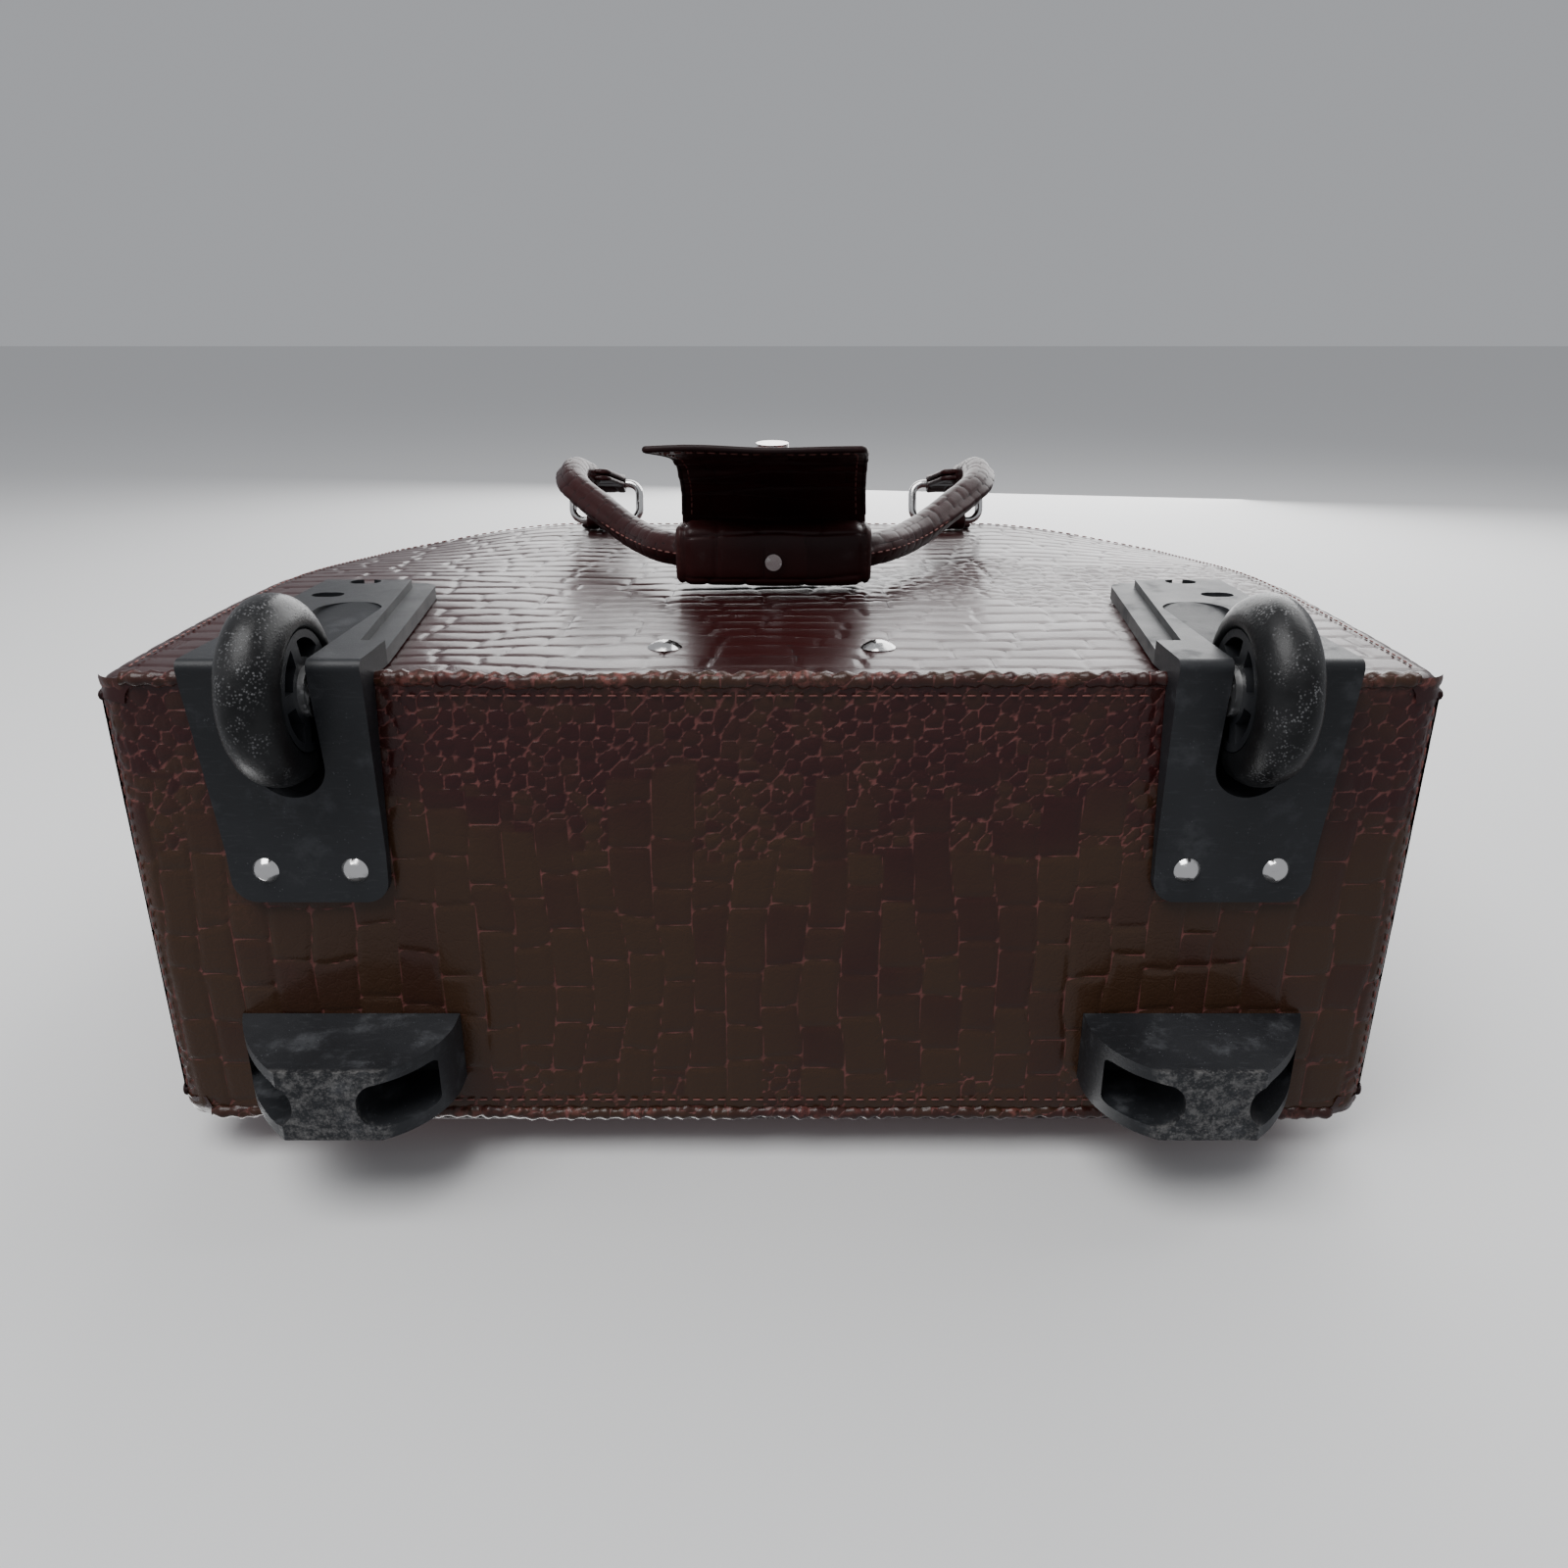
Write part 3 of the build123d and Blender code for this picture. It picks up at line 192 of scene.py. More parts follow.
def croc(u, v, pitch_u, pitch_v, seed, small=None, pebble=9.0, wave=0.35):
    """Croc skin: large scales in rows, and where the mask small is set, each large scale split into pebbles."""
    d, tone, cell, row = rows(u, v, pitch_u, pitch_v, seed, wave)
    if small is not None:
        chance = small(u + 2 * pitch_u * (hash01(cell, row, seed + 21) - 0.5),
                       v + 2 * pitch_v * (hash01(cell, row, seed + 22) - 0.5))
        pd, pt = pebbles(u, v, pebble, seed + 30)
        split = chance > 0.5
        d = np.where(split, np.minimum(d + 0.35, pd), d)
        tone = np.where(split, pt, tone)
    return d, tone


def relief(d, deep):
    """Height over a scale in millimetres: a groove as a bell curve round d = 0 and a soft dome towards the middle."""
    return -deep * np.exp(-(d / 0.85) ** 2) + 0.5 * deep * (1 - np.exp(-d / 2.5)) - 0.25 * deep


# ------------------------------------------------------------------ meshes
def mesh_piece(name, points, faces, attributes, material):
    """A smooth mesh from arrays: points in millimetres, four-cornered faces, one float attribute per name."""
    mesh = bpy.data.meshes.new(name)
    points = np.ascontiguousarray(points, dtype=np.float32) * MM
    faces = np.ascontiguousarray(faces, dtype=np.int32)
    mesh.vertices.add(len(points))
    mesh.vertices.foreach_set("co", points.ravel())
    mesh.loops.add(faces.size)
    mesh.loops.foreach_set("vertex_index", faces.ravel())
    mesh.polygons.add(len(faces))
    mesh.polygons.foreach_set("loop_start", np.arange(0, faces.size, faces.shape[1], dtype=np.int32))
    mesh.polygons.foreach_set("use_smooth", np.ones(len(faces), dtype=bool))
    for key, values in attributes.items():
        layer = mesh.attributes.new(key, "FLOAT", "POINT")
        layer.data.foreach_set("value", np.ascontiguousarray(values, dtype=np.float32).ravel())
    mesh.update(calc_edges=True)
    mesh.validate()
    obj = bpy.data.objects.new(name, mesh)
    bpy.context.scene.collection.objects.link(obj)
    mesh.materials.append(material)
    return obj


def weld(obj):
    """Join points that lie on one another, so that caps and poles are closed."""
    data = bmesh.new()
    data.from_mesh(obj.data)
    bmesh.ops.remove_doubles(data, verts=data.verts, dist=2e-6)
    data.to_mesh(obj.data)
    data.free()
    return obj


def quads(n, m, wrap_n=False, wrap_m=False, keep=None, flip=False):
    """Faces of an n by m grid of points, with its sides joined where asked and faces dropped by a mask."""
    i = np.arange(n if wrap_n else n - 1)
    j = np.arange(m if wrap_m else m - 1)
    ii, jj = np.meshgrid(i, j, indexing="ij")
    a = ii * m + jj
    b = ((ii + 1) % n) * m + jj
    c = ((ii + 1) % n) * m + (jj + 1) % m
    d = ii * m + (jj + 1) % m
    faces = np.stack([a, b, c, d], axis=-1)
    if flip:
        faces = faces[..., ::-1]
    if keep is not None:
        return faces[keep]
    return faces.reshape(-1, 4)


def outward(points, faces):
    """The faces of a closed piece, turned round if its signed volume comes out negative."""
    p = points - points.mean(axis=0)
    a, b, c, d = (p[faces[:, k]] for k in range(4))
    volume = np.sum(np.einsum("ij,ij->i", a, np.cross(b, c)) + np.einsum("ij,ij->i", a, np.cross(c, d)))
    return faces if volume > 0 else faces[:, ::-1]


def normals(grid):
    """Unit normals of a grid of points: the cross product of its two directions."""
    return unit(np.cross(np.gradient(grid, axis=0), np.gradient(grid, axis=1)))


def sheet_piece(name, grid, material, attributes, keep=None, flip=False, wrap_n=False, wrap_m=False):
    """One grid surface as a piece."""
    n, m = grid.shape[:2]
    face_keep = None
    if keep is not None:
        face_keep = keep[:-1, :-1] & keep[1:, :-1] & keep[:-1, 1:] & keep[1:, 1:]
    faces = quads(n, m, wrap_n, wrap_m, face_keep, flip)
    return mesh_piece(name, grid.reshape(-1, 3), faces, attributes, material)


def tube(path, radius, sides=24):
    """Points of a round section swept along a path of points with rotation-minimising frames."""
    tangent = unit(np.gradient(path, axis=0))
    side = np.cross(tangent[0], (0.0, 0.0, 1.0))
    if np.linalg.norm(side) < 1e-3:
        side = np.cross(tangent[0], (0.0, 1.0, 0.0))
    sideways = []
    for t in tangent:
        side = unit(side - t * np.dot(side, t))
        sideways.append(side)
    a = np.array(sideways)[:, None]
    b = np.cross(tangent[:, None], a)
    turn = turns(sides)[:, None]
    r = np.broadcast_to(radius, (len(path), sides))[..., None]
    return path[:, None] + r * (a * np.cos(turn) + b * np.sin(turn))


def curve(points, count):
    """A smooth path through points: Catmull-Rom pieces, evenly spaced along its length."""
    p = np.asarray(points, dtype=float)
    p = np.vstack([2 * p[0] - p[1], p, 2 * p[-1] - p[-2]])
    out = []
    for k in range(1, len(p) - 2):
        t = np.linspace(0, 1, 40, endpoint=k == len(p) - 3)[:, None]
        a, b, c, d = p[k - 1], p[k], p[k + 1], p[k + 2]
        out.append(0.5 * (2 * b + (c - a) * t + (2 * a - 5 * b + 4 * c - d) * t ** 2
                          + (3 * b - a - 3 * c + d) * t ** 3))
    fine = np.vstack(out)
    length = lengths(fine)
    at = np.linspace(0, length[-1], count)
    return np.stack([np.interp(at, length, fine[:, k]) for k in range(3)], axis=1)


def closed_tube(name, path, radius, material, attributes=None, sides=24):
    """A swept round piece with both ends drawn to a point, so that it is closed."""
    grid = tube(path, radius, sides)
    first, last = (np.repeat(path[k][None, None], sides, axis=1) for k in (0, -1))
    grid = np.concatenate([first, grid, last])
    extra = {key: np.concatenate([v[:1], v, v[-1:]]) for key, v in (attributes or {}).items()}
    points = grid.reshape(-1, 3)
    faces = quads(*grid.shape[:2], wrap_m=True)
    return weld(mesh_piece(name, points, outward(points, faces), extra, material))


# ------------------------------------------------------------------ shader maths
class Wire:
    """A node socket that can be added, multiplied and compared like a number."""

    def __init__(self, tree, socket):
        self.tree = tree
        self.socket = socket

    def math(self, operation, *others):
        node = self.tree.nodes.new("ShaderNodeMath")
        node.operation = operation
        for slot, value in zip(node.inputs, (self,) + others):
            put(self.tree, slot, value)
        return Wire(self.tree, node.outputs[0])

    def __add__(self, other):
        return self.math("ADD", other)

    __radd__ = __add__

    def __sub__(self, other):
        return self.math("SUBTRACT", other)

    def __rsub__(self, other):
        return (self * -1.0) + other

    def __mul__(self, other):
        return self.math("MULTIPLY", other)

    __rmul__ = __mul__

    def most(self, other):
        return self.math("MAXIMUM", other)

    def ramp(self, low, high, out_low=0.0, out_high=1.0):
        """Smooth step from out_low to out_high as the value goes from low to high."""
        node = self.tree.nodes.new("ShaderNodeMapRange")
        node.interpolation_type = "SMOOTHSTEP"
        put(self.tree, node.inputs["Value"], self)
        for key, value in (("From Min", low), ("From Max", high), ("To Min", out_low), ("To Max", out_high)):
            node.inputs[key].default_value = value
        return Wire(self.tree, node.outputs["Result"])


def put(tree, slot, value):
    """Link a wire to a socket, or set the socket's constant."""
    if isinstance(value, Wire):
        tree.links.new(value.socket, slot)
    else:
        slot.default_value = value


class Shade:
    """A material being built: its node tree and its principled shader."""

    def __init__(self, name):
        self.material = bpy.data.materials.new(name)
        self.material.use_nodes = True
        self.tree = self.material.node_tree
        self.shader = next(n for n in self.tree.nodes if n.type == "BSDF_PRINCIPLED")

    def node(self, kind, out=0, settings=None, **inputs):
        """Any other node: its type, its settings, its inputs and the output wanted."""
        node = self.tree.nodes.new(kind)
        for key, value in (settings or {}).items():
            setattr(node, key, value)
        for key, value in inputs.items():
            put(self.tree, node.inputs[key.replace("_", " ")], value)
        return Wire(self.tree, node.outputs[out])

    def place(self):
        """Object coordinates."""
        return self.node("ShaderNodeTexCoord", "Object")

    def value(self, name):
        """A float attribute of the mesh."""
        return self.node("ShaderNodeAttribute", "Fac", {"attribute_name": name})

    def noise(self, scale, detail=3.0, rough=0.55):
        """Cloudy noise about 0.5 in object space."""
        return self.node("ShaderNodeTexNoise", "Fac", None, Vector=self.place(), Scale=scale, Detail=detail,
                         Roughness=rough)

    def cells(self, scale, feature="F1"):
        """Distance in Voronoi cells in object space."""
        return self.node("ShaderNodeTexVoronoi", "Distance", {"feature": feature}, Vector=self.place(),
                         Scale=scale)

    def mix(self, factor, one, two):
        """Colour one where factor is 0, two where it is 1."""
        node = self.tree.nodes.new("ShaderNodeMix")
        node.data_type = "RGBA"
        put(self.tree, node.inputs[0], factor)
        put(self.tree, node.inputs[6], rgba(one))
        put(self.tree, node.inputs[7], rgba(two))
        return Wire(self.tree, node.outputs[2])

    def bump(self, height, strength, distance):
        """A normal from a height."""
        return self.node("ShaderNodeBump", 0, None, Height=height, Strength=strength, Distance=distance)

    def set(self, **values):
        """Set the shader's sockets."""
        for key, value in values.items():
            put(self.tree, self.shader.inputs[key.replace("_", " ")], rgba(value) if "Color" in key else value)
        return self.material


def rgba(value):
    """A colour with its alpha, or the wire as it is."""
    return value if isinstance(value, Wire) else (value[0], value[1], value[2], 1.0)


def leather(name, base, dark, groove, worn, gloss=0.3, coat=0.35, grain=1.0, shine=0.26):
    """Embossed glossy leather: grooves and tone come from the mesh, grain and polish from noise."""
    s = Shade(name)
    d = s.value("groove")
    tone = s.value("tone")
    wear = s.value("wear")
    line = (d + s.noise(300.0, 2.0) * 0.3 - 0.15).ramp(0.06, 0.42, 1.0, 0.0)
    # tone picks between the dark and the base colour; on the base it also carries a painted reflection, brown away from
    # the rear edge.
    colour = s.mix((tone * 0.22 + s.noise(16.0, 4.0) * 0.9 - 0.05).ramp(0.25, 0.85), dark, base)
    colour = s.mix(line * s.noise(60.0, 2.0).ramp(0.25, 0.7, 0.4, 0.95), colour, groove)
    rubbed = wear.most(s.noise(9.0, 5.0).ramp(0.68, 0.84, 0.0, 0.25)) * s.noise(420.0, 3.0).ramp(0.4, 0.66)
    colour = s.mix(rubbed * 0.8, colour, worn)
    crease = s.cells(260.0, "DISTANCE_TO_EDGE").ramp(0.0, 0.12, 0.0, 1.0)
    grained = s.noise(1500.0, 4.0, 0.6) * 0.22 + s.cells(900.0) * 0.22 + crease * 0.16
    height = grained + s.noise(330.0, 4.0) * 0.7 - line * 1.5
    rough = s.noise(45.0, 3.0) * 0.2 + line * 0.2 + wear * 0.25 + (gloss - 0.06) + s.noise(600.0, 2.0) * 0.06
    return s.set(Base_Color=colour, Roughness=rough, Normal=s.bump(height, 0.4 * grain, 0.0006),
                 Coat_Weight=coat, Coat_Roughness=0.13, Specular_IOR_Level=shine)


def plastic(name, base, scuffed, amount, sole=0.0):
    """Satin moulded plastic with grey scuffs and scratches; sole is how far wear greys it near the floor."""
    s = Shade(name)
    scuff = s.noise(70.0, 6.0, 0.65).ramp(0.52, 0.72)
    streak = s.node("ShaderNodeTexNoise", "Fac", None,
                    Vector=s.node("ShaderNodeMapping", 0, None, Vector=s.place(), Scale=(160.0, 900.0, 420.0)),
                    Scale=1.0, Detail=4.0, Roughness=0.6).ramp(0.54, 0.7)
    dust = s.noise(14.0, 4.0).ramp(0.35, 0.75)
    speck = s.cells(700.0).ramp(0.06, 0.2, 1.0, 0.0) * s.noise(120.0, 3.0).ramp(0.5, 0.66)
    colour = s.mix((scuff * 0.16 + streak * 0.05 + speck * 0.4 + dust * 0.08) * amount, base, scuffed)
    if sole:
        low = s.node("ShaderNodeSeparateXYZ", "Z", None, Vector=s.place()).ramp(0.0004, 0.0032, 1.0, 0.0)
        scratched = s.cells(900.0).ramp(0.15, 0.45, 1.0, 0.0) * 0.35
        scratched = scratched + s.noise(260.0, 8.0, 0.8).ramp(0.45, 0.6) * 0.8
        colour = s.mix(low * scratched * sole, colour, (0.30, 0.29, 0.28))
    height = s.noise(1800.0, 3.0) * 0.6 + scuff * 0.3 + streak * 0.1
    return s.set(Base_Color=colour, Roughness=s.noise(50.0, 4.0) * 0.25 + scuff * 0.2 + 0.32,
                 Normal=s.bump(height, 0.25, 0.0004), Specular_IOR_Level=0.38)


def tyre_rubber(name):
    """Dark tread with pale worn speckle, more on the tread than on the shoulders."""
    s = Shade(name)
    wear = s.value("wear")
    speck = s.cells(1100.0).ramp(0.1, 0.5, 1.0, 0.0) * s.noise(160.0, 6.0, 0.7).ramp(0.45, 0.6)
    film = s.noise(60.0, 5.0).ramp(0.3, 0.75)
    colour = s.mix((speck * 0.75 + film * 0.07) * wear + film * 0.02, (0.004, 0.0042, 0.0046), (0.20, 0.20, 0.205))
    return s.set(Base_Color=colour, Roughness=film * 0.16 + speck * 0.2 + 0.26, Specular_IOR_Level=0.3,
                 Normal=s.bump(s.noise(900.0, 4.0) + speck * 0.8, 0.22, 0.0004))


def metal(name, colour, rough, scratch=0.2):
    """Metal with faint scratches and dull patches."""
    s = Shade(name)
    marks = s.noise(300.0, 5.0).ramp(0.5, 0.7)
    return s.set(Base_Color=s.mix(marks * scratch, colour, tuple(0.55 * c for c in colour)), Metallic=1.0,
                 Roughness=marks * scratch + s.noise(90.0, 3.0) * 0.1 + rough,
                 Normal=s.bump(s.noise(700.0, 3.0), 0.05, 0.0002))


def plain(name, colour, rough, weave=0.0):
    """A plain matt finish, or cloth with a fine weave bump."""
    s = Shade(name)
    height = s.noise(1200.0, 2.0)
    if weave:
        height = sum(s.node("ShaderNodeTexWave", "Fac", {"bands_direction": way}, Vector=s.place(), Scale=weave)
                     for way in "XZ")
    return s.set(Base_Color=s.mix(s.noise(40.0, 3.0).ramp(0.3, 0.7), colour, tuple(0.8 * c for c in colour)),
                 Roughness=s.noise(80.0, 2.0) * 0.1 + rough, Normal=s.bump(height, 0.3, 0.0003))


FINISH = {}


def build_finishes(look):
    """All materials, by short name."""
    base, dark, groove = tuple(look.leather), tuple(look.leather_dark), tuple(look.groove_dark)
    moulded = tuple(look.plastic)
    FINISH.update({
        "bottom": leather("leather_bottom", base, dark, tuple(look.groove_light), (0.24, 0.075, 0.06), 0.26, 0.30),
        "back": leather("leather_back", tuple(0.8 * c for c in dark), dark, groove, (0.18, 0.06, 0.05),
                        0.27, 0.2, 0.35),
        "handle": leather("leather_handle", tuple(0.5 * c for c in dark), dark, groove, (0.07, 0.022, 0.02),
                          0.34, 0.1, 0.35, 0.18),
        "thread": plain("thread", (0.20, 0.07, 0.06), 0.6),
        "thread_light": plain("thread_light", (0.42, 0.30, 0.26), 0.6),
        "plastic": plastic("housing_plastic", moulded, (0.16, 0.165, 0.18), 1.0),
        "foot": plastic("foot_plastic", moulded, (0.24, 0.25, 0.27), 1.0, 0.42),
        "smooth": plastic("grip_plastic", moulded, (0.08, 0.08, 0.09), 0.4),
        "tyre": tyre_rubber("tyre"),
        "chrome": metal("chrome", (0.80, 0.79, 0.78), 0.10),
        "steel": metal("steel", (0.50, 0.50, 0.50), 0.28, 0.4),
        "tube": metal("anodised_tube", (0.62, 0.62, 0.64), 0.26, 0.15),
        "screw": metal("screw", (0.10, 0.10, 0.11), 0.35, 0.3),
        "zip": metal("zip_metal", (0.36, 0.31, 0.24), 0.32, 0.3),
        "board": plain("board", (0.03, 0.03, 0.032), 0.7),
        "lining": plain("lining_cloth", (0.05, 0.045, 0.04), 0.85, 500.0),
        "cloth_pad": plain("divider_cloth", (0.035, 0.034, 0.036), 0.8, 420.0),
    })


CAD_FINISH = {
    "plastic": ("wheel_housing_left", "wheel_housing_right", "trolley_bracket"),
    "foot": ("foot_left", "foot_right"),
    "smooth": ("trolley_grip", "trolley_bezel", "trolley_button", "hub_left", "hub_right"),
    "chrome": ("housing_rivets", "foot_rivets", "trolley_rivets", "rings_rear", "rings_front", "wrap_stud_rear",
               "wrap_stud_front", "wrap_socket_rear", "wrap_socket_front"),
    "steel": ("axles", "bearing_left", "bearing_right"),
    "tube": ("trolley_outer_tubes", "trolley_mid_tubes", "trolley_inner_tubes"),
    "screw": ("housing_screws",),
    "zip": ("pocket_zip_teeth", "zip_ends", "zip_teeth_rear", "zip_teeth_front", "zip_slider", "zip_pull",
            "pocket_slider", "pocket_pull"),
    "board": ("base_board", "back_board"),
}


def dress_cad():
    """Give every CAD node that shows its finish."""
    for key, nodes in CAD_FINISH.items():
        for node in nodes:
            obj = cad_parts[node]
            obj.data.materials.clear()
            obj.data.materials.append(FINISH[key])


# ------------------------------------------------------------------ the case's shape
def side_x(h):
    """Half the width of the case at a height above the base: a parabola with both corners rounded."""
    flank = HALF + 0.078848 * h - 0.00028146 * h * h
    low = HALF + 0.95 - quarter(CORNER, np.clip(CORNER - h, 0, CORNER))
    start = HEIGHT - TOP_R
    top = HALF + 0.8 - quarter(TOP_R, np.clip(h - start, 0, TOP_R))
    return np.where(h < CORNER, np.minimum(low, flank), np.where(h > start, np.minimum(top, flank), flank))


def sink(x, h):
    """How far the back face droops towards its top corners, in millimetres."""
    return 12.0 * ease(h, 0.42 * HEIGHT, 1.02 * HEIGHT) * ease(np.abs(x), 112, 222)


def back_grid(front, step):
    """A panel's rounded face as a grid, with the pattern's own coordinates x and height."""
    count_h = int(HEIGHT / step)
    count_x = int(2 * (HALF + 5) / step)
    h = np.linspace(0, 1, count_h)
    h = HEIGHT * (h - 0.012 * np.sin(2 * np.pi * h))
    u = np.linspace(-1, 1, count_x)
    u = np.sign(u) * (1 - (1 - np.abs(u)) ** 1.06)
    hh, uu = np.meshgrid(h, u, indexing="ij")
    xx = uu * side_x(hh)
    edge = side_x(hh) - np.abs(xx)
    top = HEIGHT - hh
    cx, ch = HALF + 0.8 - TOP_R, HEIGHT - TOP_R
    in_corner = (np.abs(xx) > cx) & (hh > ch)
    d = np.where(in_corner, TOP_R - np.hypot(np.abs(xx) - cx, hh - ch), np.minimum(edge, top))
    d = np.clip(np.minimum(d, np.where(hh < CORNER, edge, d)), 0, RIM)
    foot = np.clip(1.6 - hh, 0, None)
    fall = quarter(RIM, RIM - d) + (0 if front else sink(xx, hh)) + foot ** 2 * 0.5
    return xx, hh, Y_FRONT + fall if front else Y_REAR - fall, d


def wheel_gap_back(x, h):
    """True where the back skin is clear of the wheel spaces."""
    return ~((np.abs(np.abs(x) - WHEEL_X) < WELL_HALF) & (h < WELL_TALL))


def make_back(front):
    """The back or front panel's embossed leather."""
    x, h, y, d_rim = back_grid(front, 2.0 if front else 1.25)
    seed = 40 if front else 11

    def small(u, v):
        return ease(-u, 10, 60) * ease(v, 95, 125) * (1 - ease(v, 175, 215)) * 1.2

    d, tone = croc(x, h, 24.0, 12.5, seed, small, 8.0, 0.45)
    wear = ease(cloud(x, h, 30.0, seed + 3), 0.5, 0.9) * 0.25 * ease(RIM - d_rim, 2, 8)
    lump = 0.7 * cloud(x, h, 70.0, seed + 6) * ease(d_rim, 2, 8) + 0.3 * cloud(x, h, 22.0, seed + 7)
    out = (relief(d, 0.42) + np.minimum(lump, 0.1) - 0.25) * ease(d_rim, 0, 1)
    grid = points_at(x, y - out if front else y + out, h + Z_BASE)
    obj = sheet_piece("front_leather" if front else "back_leather", grid, FINISH["back"],
                      {"groove": d, "tone": tone, "wear": wear}, None if front else wheel_gap_back(x, h), flip=front)
    settle(obj, "case", "front_panel" if front else "back_panel")


def arc_outline():
    """Points of the right-hand outline from the middle of the base, round the side, to the middle of the top."""
    h = np.concatenate([CORNER - CORNER * np.cos(np.linspace(0, np.pi / 2, 24))[:-1],
                        np.linspace(CORNER, HEIGHT - TOP_R, 140)[:-1],
                        HEIGHT - TOP_R + TOP_R * np.sin(np.linspace(0, np.pi / 2, 60))])
    x = side_x(h)
    x = np.concatenate([np.linspace(0, x[0], 30)[:-1], x, np.linspace(x[-1], 0, 30)[1:]])
    h = np.concatenate([np.zeros(29), h, np.full(29, HEIGHT)])
    return x, h, lengths(np.stack([x, h], axis=1))


OUT_X, OUT_H, OUT_S = arc_outline()
SEAM_S = 216.0  # where the base leather ends, along the outline
LID_HALF = 130.0  # half the length of the lids


def on_outline(s):
    """x and height at a distance along the outline from the middle of the base."""
    return np.interp(s, OUT_S, OUT_X), np.interp(s, OUT_S, OUT_H)


def make_bottom():
    """The base's embossed leather, wrapped a little way round the lower corners."""
    s = np.linspace(-SEAM_S, SEAM_S, 433)
    y0, y1 = Y_FRONT + 0.6, Y_REAR - 1.0
    ss, yy = np.meshgrid(s, y0 + (y1 - y0) * np.linspace(0, 1, 160), indexing="ij")
    x, h = on_outline(np.abs(ss))
    x = np.sign(ss) * x
    depth = Y_REAR - yy
    d, tone = croc(-depth, ss, 19.0, 13.0, 71, small_base, 5.6, 0.45)
    # Painted reflection: the scales turn from the dark colour near the rear edge to the brown one further forward, a
    # painted reflection of a brown table in the base; the random tone per scale is the leather's own.
    tone = 1.6 * tone + 1.7 * ease(depth, 24, 70) - 1.0
    grid = points_at(x, yy, h + Z_BASE)
    n = normals(grid)
    n *= np.sign(-n[..., 2:3] + 1e-6)
    lump = 0.5 * cloud(ss, yy, 60.0, 73)
    front = ease(yy, Y_FRONT + 0.6, Y_FRONT + 7)
    out = relief(d, 0.4) - 0.3 + np.minimum(lump, 0.1)
    grid = grid + n * (out * ease(depth, 0, 6) * front)[..., None]
    grid[..., 2] += 2.2 * (1 - front) ** 2 + 1 - ease(depth, 0.5, 2.5)
    wear = np.maximum(ease(9 - depth, 0, 7) * 0.5, ease(np.abs(ss), 205, 214) * 0.35)
    wear = wear * ease(cloud(ss, yy, 11.0, 77), -0.4, 0.5)
    keep = ~((np.abs(np.abs(x) - WHEEL_X) < WELL_HALF) & (depth < WELL_DEEP) & (h < 3))
    obj = sheet_piece("base_leather", grid, FINISH["bottom"], {"groove": d, "tone": tone, "wear": wear}, keep,
                      flip=True)
    settle(obj, "case", "bottom_panel")


def small_base(u, v):
    """Where the base's scales are small: near the wheels and along the front edge. u is minus the depth."""
    return (1 - ease(-u, 30, 66)) + 0.62 * ease(-u, 140, 162)


def make_gusset(side):
    """The side leather from the base seam, up the side and over the top corner."""
    s = np.linspace(SEAM_S - 0.5, OUT_S[-1] - LID_HALF, 252)
    ss, tt = np.meshgrid(s, np.linspace(0, 1, 104), indexing="ij")
    x, h = on_outline(ss)
    rear = Y_REAR - RIM - sink(x, h)
    front = Y_FRONT + RIM
    y = rear + (front - rear) * tt
    grid = points_at(side * x, y, h + Z_BASE)
    n = normals(grid)
    n *= np.sign(np.sum(n * points_at(side * x, 0, h - HEIGHT / 2), axis=-1, keepdims=True))
    d, tone = croc(y, ss, 15.0, 15.0, 90 + side, None, 9.0, 0.5)
    low = 1 - ease(h, 8, 46)
    pucker = low * 1.3 * np.sin(y * 0.42 + 2.5 * cloud(ss, y, 25.0, 95)) * ease(tt, 0, 0.12) * ease(1 - tt, 0, 0.12)
    lump = 0.9 * cloud(ss, y, 55.0, 97)
    inside = ease(ss, SEAM_S, SEAM_S + 5) * ease(tt, 0, 0.03) * ease(1 - tt, 0, 0.03)
    out = (relief(d, 0.42) + np.minimum(lump, 0.2) + np.minimum(pucker, 0.3) - 0.3) * inside
    grid = grid + n * out[..., None]
    wear = ease(cloud(ss, y, 16.0, 99 + side), 0.35, 0.8) * (0.25 + 0.75 * low)
    zip_low, zip_high = spot("zip_ends")
    slot = (x < zip_high[0] + 1.0) & (h > HEIGHT - 6) & (y > zip_low[1] - 1.0) & (y < zip_high[1] + 1.0)
    obj = sheet_piece("side_leather_" + ("right" if side > 0 else "left"), grid, FINISH["back"],
                      {"groove": d, "tone": tone, "wear": wear * 0.8}, ~slot, flip=side > 0)
    settle(obj, "case", "gusset_right" if side > 0 else "gusset_left")


